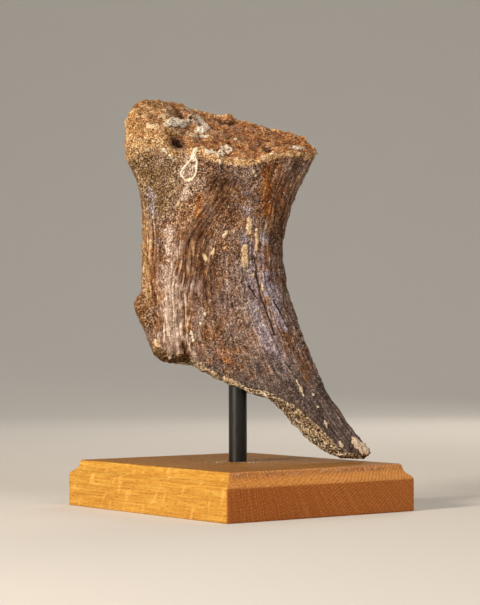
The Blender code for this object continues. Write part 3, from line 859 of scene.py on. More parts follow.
boneGrain = {
    # Ridges along the fibres: mm across, mm along, height in mm; then least height and what fibres add
    "fibres": [(3.6, 48, 0.52), (2, 34, 0.72), (1.3, 20, 0.55)],
    "fibreHeight": (0.22, 0.8),
    # Lumps: size in mm, height in mm
    "shaft": [(9, 0.55), (4.6, 0.42), (2.5, 0.34), (1.5, 0.24)],
    "cap": [(8.5, 1.45), (4.2, 1.1), (2.3, 0.46), (1.4, 0.22)],
    "break": [(6, 0.8), (3, 0.7), (1.6, 0.5)],
    "coarseFrom": 3,
    # How much smoother it is in the hollow (coarse, fine) and on the break by the foot: share, x, reach,
    # and height in mm
    "hollowSmooth": (0.8, 0.7),
    "footSmooth": (0.8, -37, 9, 95),
    # Close-set rounded grains: size in mm, height in mm
    "grains": (1.5, 0.5),
    # Pores of the spongy inside: size of a cell in mm, share of cells with one, depth in mm
    "pores": [(3.4, 0.42, 1.1), (1.9, 0.55, 0.8)],
    # Cracks along the fibres: mm across, mm along, width as a share, depth in mm
    "hairlines": (6.5, 70, 0.05, 0.45),
    # Colour patterns: size in mm and detail. The finest is drawn at about twice its real size, to show.
    "patterns": {
        "grit": (0.75, 2), "crumb": (1.25, 1.5), "pit": (1.2, 1.5), "fleck": (2.4, 3),
        "patch": (7, 2.5), "broad": (19, 2),
    },
    # Fibres in the flow's own coordinates: mm across, mm along, detail
    "drawn": {"fibre": (1.5, 34, 2), "hair": (0.75, 12, 1.5)},
}


def boneRelief(points, zones, flow, fields):
    # Fine relief in mm along the surface's normals: fibres, lumps, grains, pores, cracks and growths.
    g = boneGrain
    flat = np.concatenate([flow, 0 * flow[..., :1]], -1)
    rough = np.clip(zones["cap"] + zones["broken"] + zones["flange"] + 0.7 * zones["lobe"], 0, 1)
    rough = np.clip(rough + zones["rim"] * 0.8 + zones["hollow"], 0, 1)
    fibres = np.zeros(points.shape[:-1])
    for seed, (width, length, height) in enumerate(g["fibres"]):
        # Folded noise makes round ridges with sharp gaps; the last number keeps them level on average.
        fibres += height * (1.5 * np.abs(smoothNoise(flat, (width, length, 9), 20 + seed)) - 0.35)
    least, more = g["fibreHeight"]
    fine = fibres * (1 - rough) * (least + more * fields["fibrous"])
    coarse = np.zeros_like(fine)
    shares = {
        "shaft": 1 - rough,
        "cap": np.clip(zones["cap"] * (1 - 0.4 * zones["lobe"]) + 0.22 * zones["lobe"], 0, 1),
        "break": np.clip(zones["broken"] + 0.8 * zones["flange"] + 0.4 * zones["rim"], 0, 1),
    }
    for row, (key, share) in enumerate(shares.items()):
        for seed, (size, height) in enumerate(g[key]):
            lump = height * share * smoothNoise(points, size, 40 + 10 * row + seed)
            fine += lump if size < g["coarseFrom"] else 0
            coarse += lump if size >= g["coarseFrom"] else 0
    coarse *= 1 - g["hollowSmooth"][0] * zones["hollow"]
    fine *= 1 - g["hollowSmooth"][1] * zones["hollow"]
    share, x, reach, height = g["footSmooth"]
    coarse *= 1 - share * (zones["broken"] * bump(points[..., 0] - x, reach) * (points[..., 2] < height))
    size, height = g["grains"]
    grains = height * (0.5 - cellGap(points + 0.3 * smoothNoise(points, 2, 91)[..., None], size, 92, 1))
    fine += grains * np.clip(0.25 + 0.6 * rough + 0.5 * fields["crumbs"] - 0.3 * fields["fibrous"], 0, 1)
    pores = np.zeros_like(fine)
    for seed, (size, share, depth) in enumerate(g["pores"]):
        inside = 0.34 - cellGap(points, size, 70 + seed, share)
        pores = np.maximum(pores, depth * smoothStep(inside, 0, 0.16))
    spongy = np.clip(zones["cap"] * 0.5 + zones["broken"] + 0.1 * zones["flange"], 0, 1)
    pores = pores * np.clip(spongy + 0.10, 0, 1)
    route = points + crackSize["wander"] * smoothNoise(points, 5, 81)[..., None]
    gap = np.minimum.reduce([routeGap(route, c) for c in cracks])
    fields["crack"] = np.where(zones["front"] > 0.5, np.minimum(gap, 5), 5.0)
    crack = crackSize["depth"] * bump(gap, crackSize["width"]) * zones["front"]
    width, length, share, depth = g["hairlines"]
    nearZero = share - np.abs(smoothNoise(flat, (width, length, 9), 31))
    broken = smoothStep(smoothNoise(points, 11, 32), -0.1, 0.25) * np.clip(fields["fibrous"] * 1.3, 0, 1)
    crack = np.maximum(crack, depth * smoothStep(nearZero, 0, share) * broken)
    marks = np.maximum.reduce([fields[key] for key in ("cream", "white", "grey")])
    crusty = 1 + 0.9 * smoothNoise(points, 2.0, 93) * (np.maximum(fields["grey"], fields["white"]) > -0.5)
    growth = 0.75 * smoothStep(marks, -0.3, 0.5) * crusty
    growth = np.maximum(growth, ringSize["height"] * bump(fields["ring"], ringSize["halfWidth"]))
    # How much of the painted shade in the dark holes each point takes
    holes = np.zeros_like(fine)
    for where, gap, radius in gapsOf(points, darkHoles):
        holes = np.maximum(holes, zones[where] * bump(gap, radius))
    fields["hole"] = holes
    # Painted shade in the pores and cracks
    fields["recess"] = np.clip(crack + pores, 0, 1)
    # The relief's height, which the colour ramps turn into painted shade in its gaps and painted light on
    # its crests
    fields["crest"] = np.clip(0.5 + 0.55 * (0.25 * coarse + fine), 0, 1)
    return coarse + fine - pores - crack + growth


def buildBone():
    # The smooth form, then broad strokes and fine relief, each pushed out along the surface's normals.
    points, zones, flow = boneSurface()
    faces = gridFaces(len(points), boneForm["around"], sharedSeam=True)
    broad = strokeSum(points, zones, boneStrokes)
    points = points + vertexNormals(points, faces) * broad[..., None]
    flow = flow + np.stack([noiseSum(points, flowSize["wander"]), 0 * broad], -1)
    fields = {key: softArea(points, zones, table) for key, table in softAreas.items()}
    ragged = noiseSum(points, markEdge["ragged"])
    marks = {"cream": (creamMarks, 0.4), "white": (whiteMarks, 0.8), "grey": (greyMarks, 1)}
    for key, (table, share) in marks.items():
        fields[key] = markDepth(points, zones, table) + share * ragged
    fields["ring"] = np.where(zones["front"] > 0.5, ringGap(points), 5.0)
    relief = boneRelief(points, zones, flow, fields) + strokeSum(points, zones, fineStrokes)
    for key in ("cap", "lobe", "rim", "broken", "hollow", "flange"):
        fields[key] = zones[key]
    fields["tail"] = below(points[..., 2], *zoneEdges["tailHeight"])
    for key in ("cap", "lobe", "broken", "flange"):
        fields["gritty"] = np.maximum(fields["gritty"], fields[key])
    points = points + vertexNormals(points, faces) * relief[..., None]
    x, z, radius, reach = boredHole
    gap = np.hypot(points[..., 0] - x, points[..., 2] - z)
    # Painted shade in the bored hole, stronger than in the other holes, so that it is dark to its very edge
    bored = 1.4 * smoothStep(radius - gap, 0, 0.5) * (points[..., 1] < reach)
    fields["hole"] = np.maximum(fields["hole"], bored)
    piece = makePiece("fossilBone", turnToBase(points), faces, fields, flow)
    print("bone:", len(piece.data.polygons), "faces")
    return piece


boneColours = {
    # Each is (place, colour) from the bottom of the grain to its crests.
    "brown": [(0, "2E1A0C"), (0.38, "674329"), (0.66, "8E6542"), (1, "D8B28C")],
    "umber": [(0, "2C1E16"), (0.38, "654A3C"), (0.66, "8A6D5C"), (1, "D4BCAA")],
    "tan": [(0, "38200E"), (0.38, "7E5432"), (0.66, "AC825C"), (1, "EACFB0")],
    "olive": [(0, "221506"), (0.38, "5A4024"), (0.66, "7E5F3B"), (1, "CEB288")],
    "ochre": [(0, "46280E"), (0.34, "946636"), (0.64, "C29A62"), (1, "F8E2B8")],
    "dark": [(0, "1C0E06"), (0.4, "4A2A14"), (0.7, "744C2C"), (1, "C49A70")],
    "mauve": [(0, "32221E"), (0.38, "735A50"), (0.68, "A2887C"), (1, "DECAC0")],
    "violet": [(0, "342A30"), (0.38, "76666E"), (0.68, "A69AA4"), (1, "DED8E0")],
    "tail": [(0, "2C2321"), (0.4, "4D3F3A"), (0.7, "695A53"), (1, "98897F")],
    "pale": [(0, "423228"), (0.32, "927866"), (0.62, "C6AC9A"), (1, "FAEEE2")],
    "cap": [(0, "38190A"), (0.36, "864F28"), (0.68, "BA7F48"), (1, "F4CC9A")],
    "blush": [(0, "44260F"), (0.34, "9A6A44"), (0.64, "C29670"), (1, "F6DAC0")],
    "rim": [(0, "4E2C10"), (0.34, "B07E48"), (0.66, "DEB27A"), (1, "FFF0CC")],
    "rust": [(0, "2C1404"), (0.4, "6E3C12"), (0.72, "9A5A20"), (1, "D09C60")],
    "flange": [(0, "200D04"), (0.36, "523214"), (0.68, "80552C"), (1, "D8AC78")],
    "spongy": [(0, "4E3218"), (0.25, "9E8058"), (0.5, "DCC49E"), (1, "FFF4E0")],
    "hollow": [(0, "30200C"), (0.5, "74522A"), (1, "C0965E")],
    "grey": [(0, "B08056"), (0.12, "FBCC9E"), (0.24, "FFE4C0"), (0.5, "FFF2DC")],
    "cream": [(0, "6A4C2C"), (0.32, "BA976C"), (0.64, "DCBE94"), (1, "F4E4C8")],
    "white": [(0, "7A5836"), (0.28, "DAB488"), (0.56, "FFE4C0"), (1, "FFF8E8")],
}
# Layers of colour, each over those before it: name, field or pattern that places it, share of the
# ragged pattern that breaks up its edge, and where it begins and is full
boneLayers = [
    ("tan", "fleck", 0, 0.54, 0.68),
    ("umber", "patch", 0, 0.44, 0.6),
    ("umber", "broad", 0.3, 0.48, 0.66),
    ("olive", "olive", 1.2, 0.25, 0.95),
    ("ochre", "ochre", 1.3, 0.2, 1),
    # Partly painted shade, partly dark stains
    ("dark", "dark", 1.5, 0.25, 0.95),
    ("mauve", "mauve", 1.6, 0.25, 1),
    # Lavender, partly a painted sheen
    ("violet", "violet", 1.8, 0.25, 1.1),
    ("tail", "tail", 1.5, 0.2, 0.8),
    # Paler bone, and a painted highlight along the foot's lip
    ("pale", "pale", 1.2, 0.3, 0.9),
    ("rust", "rust", 1.6, 0.25, 1.05),
    ("cap", "cap", 0.4, 0.25, 0.75),
    ("ochre", "lobe", 1.2, 0.55, 1.25),
    # The dark colour again, as painted shade
    ("dark", "shade", 0.9, 0.25, 0.95),
    ("blush", "blush", 1.4, 0.25, 1),
    ("rim", "rim", 1.6, 0.45, 1),
    ("flange", "flange", 0.8, 0.3, 0.7),
    ("spongy", "broken", 0.5, 0.35, 0.65),
    ("hollow", "hollow", 0.2, 0.3, 0.6),
]
boneSpots = {
    # Crumbs: pale specks, partly painted glints
    "crumb": (0.61, 0.71, 0.85, "EAD6BC"),  # noise where they begin and are full, strength, colour
    # Pits, recesses, cracks and holes: painted shade inside them
    "pit": (0.41, 0.32, 0.34, "2E1A0C"),
    "recess": (0.1, 0.6, 0.75, "28180B"),
    "crack": (0.62, 0.15, 0.75, "241410"),  # mm from its middle
    "hole": (0.25, 1.2, 0.98, "26141A"),
}
# How the patterns are mixed into the grain, the crumbs and pits, and the gloss
boneMix = {
    "noiseRoughness": 0.6,
    "hair": 0.55,  # share of the finer fibres
    "fibrous": (0.28, 0.8),  # least and most share of the fibres in the grain
    "lessFibre": 0.85,  # how much of that share gritty bone loses
    "contrast": (3.3, 2.5),  # of the grain on smooth and on gritty bone
    "grain": {"fleck": 0.6, "crest": 0.9},
    "grainRange": (0.27, 1.27),
    "raggedFleck": 0.7,
    "moreCrumbs": 0.08,  # how much sooner crumbs show where they cling
    "patchy": (0.35, 0.6, 0.25, 1.0),  # crumbs lie in patches: noise from and to, shares there
    "onFibres": (0.1, 1.0, 1.0, 0.35),  # crumbs and pits left on fibrous bone
    "fewer": {"tail": -0.5, "flange": -0.6, "cap": -0.4},
    "porePit": -0.12,  # how much sooner pits open in the spongy bone, and how much darker
    "poreDark": 0.52,
    "roughness": (0.8, 0.52),  # in the gaps and on the crests
    "violetRoughness": -0.12,
    "gloss": (0.08, 0.4),
    "ior": 1.52,
    "bumpHeight": 0.8,  # mm
}
# The crusts and the shell's ring
growths = {
    "edgeFleck": 1.2,
    "edge": (0.45, 0.85, 0.0, 0.95),  # mm inside the mark where it begins and is full, cover there
    "ringInset": 0.45,  # mm
    "ringRagged": 0.5,
    "ringEdge": (-0.1, 0.2, 0.0, 0.95),
    # Crusts made of crumbs: noise where they thin out and are whole, and how much covers there
    "crumbly": {"grey": (0.45, 0.52, 0.25, 1.0), "white": (0.43, 0.49, 0.35, 1.0)},
    "tailCover": 0.62,  # the same on the tail
    "lighter": {"grey": 0.25, "cream": 0.1, "white": 0.25},
    "tailDarker": -0.45,
    # How high they stand, as shares of the fine relief
    "heights": {"grey": 0.9, "cream": 0.5, "white": 0.7},
}


def boneMaterial():
    # Mineralised bone, weathered: dry and matt on its grit, with a faint gloss where hard skin is left.
    # Painted shade darkens the relief's gaps, pits, cracks and holes, painted light pales its crests, and
    # iron stains the fibres.
    material, add, setSurface = newMaterial("mineralisedFossilBone")
    m, g = boneMix, growths
    where = add("TexCoord", out="Object")
    flow = add("UVMap", {"uv_map": "flow"})
    patterns = {}
    for key, (size, detail) in boneGrain["patterns"].items():
        patterns[key] = add("TexNoise", None, where, 1 / (size * mm), detail, m["noiseRoughness"])
    for key, (width, length, detail) in boneGrain["drawn"].items():
        drawn = add("Mapping", None, flow, None, None, (1 / width, 1 / length, 1.0))
        patterns[key] = add("TexNoise", None, drawn, 1.0, detail, m["noiseRoughness"])
    names = [*softAreas, "cream", "white", "grey", "ring", "recess", "crack", "hole", "crest", "cap", "lobe"]
    for key in [*names, "rim", "broken", "hollow", "flange", "tail"]:
        patterns[key] = add("Attribute", {"attribute_name": key}, out="Fac")

    # Grain: the crests of the relief, grit, flecks and fibres together, from 0 in gaps to 1 on crests. The
    # relief's part paints shade in the gaps and light on the crests.
    fibre = add("Mix", None, m["hair"], patterns["fibre"], patterns["hair"])
    fibreShare = add("MapRange", None, patterns["fibrous"], 0.0, 1.0, *m["fibrous"])
    lessFibre = add("Math", "MULTIPLY", patterns["gritty"], m["lessFibre"])
    fibreShare = add("Math", {"operation": "SUBTRACT", "use_clamp": True}, fibreShare, lessFibre)
    gritOrFibre = add("Mix", None, fibreShare, patterns["grit"], fibre)
    grain = add("Math", "SUBTRACT", gritOrFibre, 0.5)
    contrast = add("MapRange", None, patterns["gritty"], 0.0, 1.0, *m["contrast"])
    grain = add("Math", "MULTIPLY", grain, contrast)
    for key, share in m["grain"].items():
        grain = add("Math", "MULTIPLY_ADD", patterns[key], share, grain)
    grain = add("MapRange", None, grain, *m["grainRange"])

    # Layers of colour, whose edges a ragged pattern breaks up; half of its noise is taken off, to centre it
    ragged = add("Math", "SUBTRACT", patterns["patch"], 0.5)
    ragged = add("Math", "MULTIPLY_ADD", patterns["fleck"], m["raggedFleck"], ragged)
    ragged = add("Math", "SUBTRACT", ragged, m["raggedFleck"] / 2)
    colour = add("ValToRGB", boneColours["brown"], grain)
    for name, place, share, low, high in boneLayers:
        place = add("Math", "MULTIPLY_ADD", ragged, share, patterns[place])
        mask = add("MapRange", smooth, place, low, high)
        layer = add("ValToRGB", boneColours[name], grain)
        colour = add("Mix", inColour, mask, colour, layer)

    # Pale crumbs, partly painted glints, and dark pits, painted shade, that open sooner in the spongy bone
    low, high, strength, shade = boneSpots["crumb"]
    crumb = add("Math", "MULTIPLY_ADD", patterns["crumbs"], m["moreCrumbs"], patterns["crumb"])
    crumb = add("MapRange", smooth, crumb, low, high, 0.0, strength)
    patchy = add("MapRange", smooth, patterns["patch"], *m["patchy"])
    crumb = add("Math", "MULTIPLY", crumb, patchy)
    fewer = add("MapRange", None, patterns["fibrous"], *m["onFibres"])
    for key, share in m["fewer"].items():
        fewer = add("Math", "MULTIPLY_ADD", patterns[key], share, fewer)
    crumb = add("Math", {"operation": "MULTIPLY", "use_clamp": True}, crumb, fewer)
    colour = add("Mix", inColour, crumb, colour, linear(shade))
    low, high, strength, shade = boneSpots["pit"]
    opened = add("Math", "MULTIPLY", patterns["broken"], m["porePit"])
    pit = add("Math", "ADD", patterns["pit"], opened)
    # How much painted shade fills a pit
    paintedShade = add("Math", "MULTIPLY_ADD", patterns["broken"], m["poreDark"], strength)
    pit = add("MapRange", smooth, pit, low, high, 0.0, paintedShade)
    fewer = add("Math", "MAXIMUM", fewer, patterns["broken"])
    pit = add("Math", {"operation": "MULTIPLY", "use_clamp": True}, pit, fewer)
    colour = add("Mix", inColour, pit, colour, linear(shade))

    # Grey and cream growths, with ragged edges, and the ring, whose depth is its half width less the gap
    edge = add("Math", "SUBTRACT", patterns["grit"], 0.5)
    edge = add("Math", "MULTIPLY_ADD", patterns["fleck"], g["edgeFleck"], edge)
    gap = add("Math", "ABSOLUTE", patterns["ring"])
    ring = add("Math", "SUBTRACT", ringSize["halfWidth"] - g["ringInset"], gap)
    ring = add("Math", "MULTIPLY_ADD", edge, g["ringRagged"], ring)
    ring = add("MapRange", smooth, ring, *g["ringEdge"])
    masks = {}
    lumps = add("Math", "MAXIMUM", patterns["grit"], patterns["crumb"])
    for name, lighter in g["lighter"].items():
        depth = add("Math", "ADD", patterns[name], edge)
        mask = add("MapRange", smooth, depth, *g["edge"])
        if name in g["crumbly"]:
            crumbs = add("MapRange", smooth, lumps, *g["crumbly"][name])
            crumbs = add("Mix", None, patterns["tail"], crumbs, g["tailCover"])
            mask = add("Math", "MULTIPLY", mask, crumbs)
        if name == "white":
            mask = add("Math", "MAXIMUM", mask, ring)
        lighter = add("Math", "ADD", grain, lighter)
        if name == "grey":
            lighter = add("Math", "MULTIPLY_ADD", patterns["tail"], g["tailDarker"], lighter)
        layer = add("ValToRGB", boneColours[name], lighter)
        colour = add("Mix", inColour, mask, colour, layer)
        masks[name] = mask
    # Painted shade in recesses, cracks and holes
    for name in ("recess", "crack", "hole"):
        low, high, strength, shade = boneSpots[name]
        deep = add("MapRange", smooth, patterns[name], low, high, 0.0, strength)
        colour = add("Mix", inColour, deep, colour, linear(shade))

    rough = add("MapRange", None, grain, 0.0, 1.0, *m["roughness"])
    rough = add("Math", "MULTIPLY_ADD", patterns["violet"], m["violetRoughness"], rough)
    gloss = add("MapRange", None, grain, 0.1, 1.0, *m["gloss"])
    fine = add("Math", "MULTIPLY_ADD", gritOrFibre, 1.0, crumb)
    fine = add("Math", "SUBTRACT", fine, pit)
    for name, height in g["heights"].items():
        fine = add("Math", "MULTIPLY_ADD", masks[name], height, fine)
    normal = add("Bump", None, 1.0, m["bumpHeight"] * mm, 0.1, fine)
    setSurface({"Base Color": colour, "Roughness": rough, "Specular IOR Level": gloss, "Normal": normal})
    setSurface({"IOR": m["ior"]})
    return material


def dressBone():
    piece = buildBone()
    piece.data.materials.append(boneMaterial())
    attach(piece, "root")
    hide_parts("pelvis_bone")


dressBone()
print("bone dressed")


# The oak base


baseForm = {
    "halfSize": (62.5, 75),
    "height": 25.4,
    "cornerRadius": 0.9,
    "cornerSteps": 5,
    "sideSteps": 36,
    # Edge moulding up the side as (inset, height): foot, straight side, eased arris, cove, top arris
    "edge": [
        (0.9, 0), (0.35, 0.12), (0.08, 0.4), (0, 0.9), (0, 6), (0, 12), (0, 16.6), (0.08, 17.4),
        (0.32, 18.1), (0.8, 18.7), (1.5, 19.3), (2.35, 19.9), (3.15, 20.6), (3.8, 21.4), (4.22, 22.3),
        (4.45, 23.2), (4.6, 24.1), (4.78, 24.7), (5.1, 25.15), (5.6, 25.38),
    ],
    "cornerLoss": (0.12, 0.25),  # how fast the corners sharpen inwards, and the least radius
    "socketRadius": 5.3,
    "socketDepth": 15,
    # Rings across the top and down the socket; then rings on the socket's floor and underneath, as shares
    "topRings": 25,
    "socketRings": 6,
    "floorRings": (0.6, 0.2),
    "underRings": (0.25, 0.5, 0.75),
    "wear": (0.05, 9),  # height and size of the handling marks, mm
    "sharpAngle": 50,
}


def roundedSquare(halfX, halfY, radius):
    # Points round a rectangle with rounded corners, the same number whatever its size.
    turns = np.linspace(0, np.pi / 2, baseForm["cornerSteps"] + 1)
    straight = np.linspace(0, 1, baseForm["sideSteps"] + 1)[1:-1, None]
    arcs = []
    for k, (right, back) in enumerate([(1, 1), (-1, 1), (-1, -1), (1, -1)]):
        angle = turns + k * np.pi / 2
        centre = np.array([right * (halfX - radius), back * (halfY - radius)])
        arcs.append(centre + radius * np.stack([np.cos(angle), np.sin(angle)], -1))
    pieces = []
    for arc, following in zip(arcs, arcs[1:] + arcs[:1]):
        pieces += [arc, arc[-1] + (following[0] - arc[-1]) * straight]
    return np.concatenate(pieces)


def level(outline, z):
    # A flat outline set at one height.
    return np.column_stack([outline, np.full(len(outline), z)])


def buildBase():
    # Outlines stacked up the moulded edge, then drawn in to the socket's round hole and down into it.
    f = baseForm
    halfX, halfY = f["halfSize"]
    loss, least = f["cornerLoss"]
    rows = []
    for inset, z in f["edge"]:
        radius = max(f["cornerRadius"] - loss * inset, least)
        rows.append(level(roundedSquare(halfX - inset, halfY - inset, radius), z))
    last = rows[-1][:, :2]
    angles = np.arctan2(last[:, 1], last[:, 0])
    hole = f["socketRadius"] * np.column_stack([np.cos(angles), np.sin(angles)])
    socketFloor = f["height"] - f["socketDepth"]
    rows += [level(last + (hole - last) * t, f["height"]) for t in np.linspace(0, 1, f["topRings"] + 1)[1:]]
    rows += [level(hole, z) for z in np.linspace(f["height"], socketFloor, f["socketRings"] + 1)[1:]]
    rows += [level(hole * t, socketFloor) for t in f["floorRings"]]
    points = np.stack([level(rows[0][:, :2] * t, 0) for t in f["underRings"]] + rows)
    faces = gridFaces(len(points), len(last))
    height, size = f["wear"]
    wear = height * smoothNoise(points, size, 5) * (points[..., 2] > 0.5)
    points = points + vertexNormals(points, faces) * wear[..., None]
    piece = makePiece("oakBase", points, faces)
    piece.data.set_sharp_from_angle(angle=math.radians(f["sharpAngle"]))
    print("base:", len(piece.data.polygons), "faces")
    return piece


oak = {
    "pith": (-64, 128),  # the tree's centre line, as x and z in mm; it runs along y
    "wander": (16, 2.2),  # size of the rings' bends and how far they go, mm
    "ringSpacing": 1.6,
    "rays": (2.6, 4.5, 9),  # size round the pith, along the grain and out from the pith, mm
    "rayRange": (0.56, 0.82, 0.0, 0.6),  # noise where they begin and are full, strength there
    "rayLean": -0.45,
    "endRays": (0.95, 60),
    "pores": (0.5, 4),
    "poreRange": (0.56, 0.68),
    "earlyPores": 0.07,  # how much sooner pores open in a ring's early wood
    "poreShare": 0.42,
    "streaks": (1.3, 26),
    "streakRange": (0.25, 0.75),  # noise at the darkest and the palest wood
    "atEnd": (0.3, 0.75),  # how far a face looks along the grain where the end grain begins and is full
    # On the ends the rays show best near the tree's centre line and the rings away from it.
    "away": (20.0, 90.0),  # mm round the pith
    "rayShare": (0.75, 0.25),
    "ringShare": (-0.1, -0.22),
    "gritShare": 0.6,
    # Painted light: the end grain grows lighter away from the tree's centre line, darker near it
    "awayPaintedLight": 0.1,
    "endRange": (-0.08, 0.66),
    "coveFrom": (17.0, 17.6),  # heights in mm
    "tornFrom": (21.8, 23.2),
    "topFrom": (25.1, 25.3),
    "tornShare": 0.55,
    "tearOut": 1,  # size of the torn fibres and of the patches they lie in, mm
    "tornPatch": 14,
    "patchRange": (0.4, 0.58, 0.35, 1.0),
    # How much painted shade darkens the top face
    "topPaintedShade": 0.6,
    "specks": (1, 11),  # size across and along the view, mm
    "specksNear": (8, 30, 0.0, 0.2),  # distance from the rod where they thin out, mm, and by how much
    "speckRange": (0.54, 0.61, 0.0, 0.9),
    "roughness": (0.5, 0.2),  # of the wood, and what a pore adds
    "ior": 1.5,
    "specular": 0.12,
    "bumpHeight": 0.15,  # mm
    "bumpStrength": 0.5,
    "bumpStreaks": 0.4,
    "golden": [(0, "AA7428"), (0.4, "BE8937"), (0.75, "C99840"), (1, "D8AB54")],
    "endGrain": [(0, "7E3E18"), (0.5, "B0642C"), (1, "DC9450")],
    # The end grain on the cove, painted lighter as painted light where it faces up
    "cove": [(0, "8E4E22"), (0.5, "D08A46"), (1, "EEB270")],
    "torn": [(0.36, "7C4630"), (0.5, "B87C54"), (0.66, "E6C0A0")],
    # The top face's painted shade
    "top": "683612",
    "fleck": "E8B45E",
    "pore": "7A4A18",
    "speck": "EBD3B0",
}


def oakMaterial():
    # Oak, planed and oiled: growth rings and rays set out round the tree's centre line, so that the long
    # faces show flecks and short dark pores, and the sawn ends show rings crossed by fine rays. The pores
    # and rays are drawn about twice their real width, so that they show.
    material, add, setSurface = newMaterial("oiledOak")
    where = add("TexCoord", out="Object")
    pithX, pithZ = oak["pith"]
    flat = add("Mapping", None, where, (-pithX, 0, -pithZ), None, (1 / mm, 0, 1 / mm))
    y = add("SeparateXYZ", None, where, out="Y")
    y = add("Math", "DIVIDE", y, mm)
    size, reach = oak["wander"]
    wander = add("TexNoise", None, where, 1 / (size * mm), 1.0)
    out = add("VectorMath", "LENGTH", flat)
    out = add("Math", "MULTIPLY_ADD", wander, reach, out)
    x = add("SeparateXYZ", None, flat, out="X")
    x = add("Math", "MULTIPLY_ADD", wander, reach, x)
    down = add("SeparateXYZ", None, flat, out="Z")
    down = add("Math", "MULTIPLY", down, -1.0)
    arc = add("Math", "ARCTAN2", x, down)
    arc = add("Math", "MULTIPLY", arc, pithZ)

    # Rings, pores, streaks, and the rays as the long faces and the ends show them
    ring = add("Math", "DIVIDE", out, oak["ringSpacing"])
    ring = add("Math", "FRACT", ring)
    early = add("MapRange", smooth, ring, 0.0, 0.5, 1.0, 0.0)
    drawn = add("Mapping", None, where, None, None, finer(*oak["pores"]))
    pores = add("TexNoise", None, drawn, 1.0, 1.5)
    pores = add("Math", "MULTIPLY_ADD", early, oak["earlyPores"], pores)
    pores = add("MapRange", smooth, pores, *oak["poreRange"])
    drawn = add("Mapping", None, where, None, None, finer(*oak["streaks"]))
    streaks = add("TexNoise", None, drawn, 1.0, 3.0)
    leaning = add("Math", "MULTIPLY_ADD", out, oak["rayLean"], y)
    place = add("CombineXYZ", None, arc, leaning, out)
    place = add("Mapping", None, place, None, None, tuple(1 / size for size in oak["rays"]))
    rays = add("TexNoise", None, place, 1.0, 0.5)
    rays = add("MapRange", smooth, rays, *oak["rayRange"])
    width, outward = oak["endRays"]
    place = add("CombineXYZ", None, arc, 0.0, out)
    place = add("Mapping", None, place, None, None, (1 / width, 1.0, 1 / outward))
    endRays = add("TexNoise", None, place, 1.0, 2.0)
    grit = add("TexNoise", None, where, 1 / (width * mm), 1.0)
    facing = add("SeparateXYZ", None, add("NewGeometry", out="Normal"), out="Y")
    facing = add("Math", "ABSOLUTE", facing)
    atEnd = add("MapRange", smooth, facing, *oak["atEnd"])

    # Long faces, then ends
    value = add("MapRange", None, streaks, *oak["streakRange"])
    golden = add("ValToRGB", oak["golden"], value)
    golden = add("Mix", inColour, rays, golden, linear(oak["fleck"]))
    poreShare = add("Math", "MULTIPLY", pores, oak["poreShare"])
    golden = add("Mix", inColour, poreShare, golden, linear(oak["pore"]))
    away = add("MapRange", smooth, arc, *oak["away"])
    rayShare = add("MapRange", None, away, 0.0, 1.0, *oak["rayShare"])
    ringShare = add("MapRange", None, away, 0.0, 1.0, *oak["ringShare"])
    value = add("Math", "SUBTRACT", endRays, 0.5)
    value = add("Math", "MULTIPLY", value, rayShare)
    value = add("Math", "MULTIPLY_ADD", early, ringShare, value)
    value = add("Math", "MULTIPLY_ADD", grit, oak["gritShare"], value)
    # Painted light, lighter away from the tree's centre line
    value = add("Math", "MULTIPLY_ADD", away, oak["awayPaintedLight"], value)
    value = add("MapRange", None, value, *oak["endRange"])
    endGrain = add("ValToRGB", oak["endGrain"], value)
    # Painted light: the cove's end grain is lighter than the flat end grain
    cove = add("ValToRGB", oak["cove"], value)
    height = add("SeparateXYZ", None, where, out="Z")
    share = add("MapRange", smooth, height, *inMetres(oak["coveFrom"]))
    endGrain = add("Mix", inColour, share, endGrain, cove)
    colour = add("Mix", inColour, atEnd, golden, endGrain)

    # Torn fibres in the upper half of the moulding where it crosses the end grain
    torn = add("TexNoise", None, where, 1 / (oak["tearOut"] * mm), 2.0)
    tornColour = add("ValToRGB", oak["torn"], torn)
    share = add("MapRange", smooth, height, *inMetres(oak["tornFrom"]), 0.0, oak["tornShare"])
    share = add("Math", "MULTIPLY", share, atEnd)
    worse = add("TexNoise", None, where, 1 / (oak["tornPatch"] * mm), 1.0)
    worse = add("MapRange", smooth, worse, *oak["patchRange"])
    share = add("Math", "MULTIPLY", share, worse)
    colour = add("Mix", inColour, share, colour, tornColour)
    torn = add("Math", "MULTIPLY", share, torn)
    onTop = add("MapRange", smooth, height, *inMetres(oak["topFrom"]))
    # Painted shade: the top face is made darker than the sides
    paintedShade = add("Math", "MULTIPLY", onTop, oak["topPaintedShade"])
    colour = add("Mix", inColour, paintedShade, colour, linear(oak["top"]))

    # Chips and dust round the rod's foot
    width, length = oak["specks"]
    turned = (0, 0, -math.radians(photoView["turn"]))
    seen = add("Mapping", None, where, None, turned, None)
    seen = add("Mapping", None, seen, None, None, (1 / (width * mm), 1 / (length * mm), 0))
    specks = add("TexNoise", None, seen, 1.0, 2.0)
    axis = add("Mapping", None, where, None, None, (1 / mm, 1 / mm, 0))
    gap = add("VectorMath", "LENGTH", axis)
    gap = add("MapRange", smooth, gap, *oak["specksNear"])
    specks = add("Math", "SUBTRACT", specks, gap)
    specks = add("MapRange", smooth, specks, *oak["speckRange"])
    specks = add("Math", "MULTIPLY", specks, onTop)
    colour = add("Mix", inColour, specks, colour, linear(oak["speck"]))

    rough, poreRough = oak["roughness"]
    rough = add("Math", "MULTIPLY_ADD", pores, poreRough, rough)
    relief = add("Math", "MULTIPLY_ADD", streaks, oak["bumpStreaks"], torn)
    relief = add("Math", "SUBTRACT", relief, pores)
    normal = add("Bump", None, oak["bumpStrength"], oak["bumpHeight"] * mm, 0.1, relief)
    setSurface({"Base Color": colour, "Roughness": rough, "Normal": normal})
    setSurface({"IOR": oak["ior"], "Specular IOR Level": oak["specular"]})
    return material


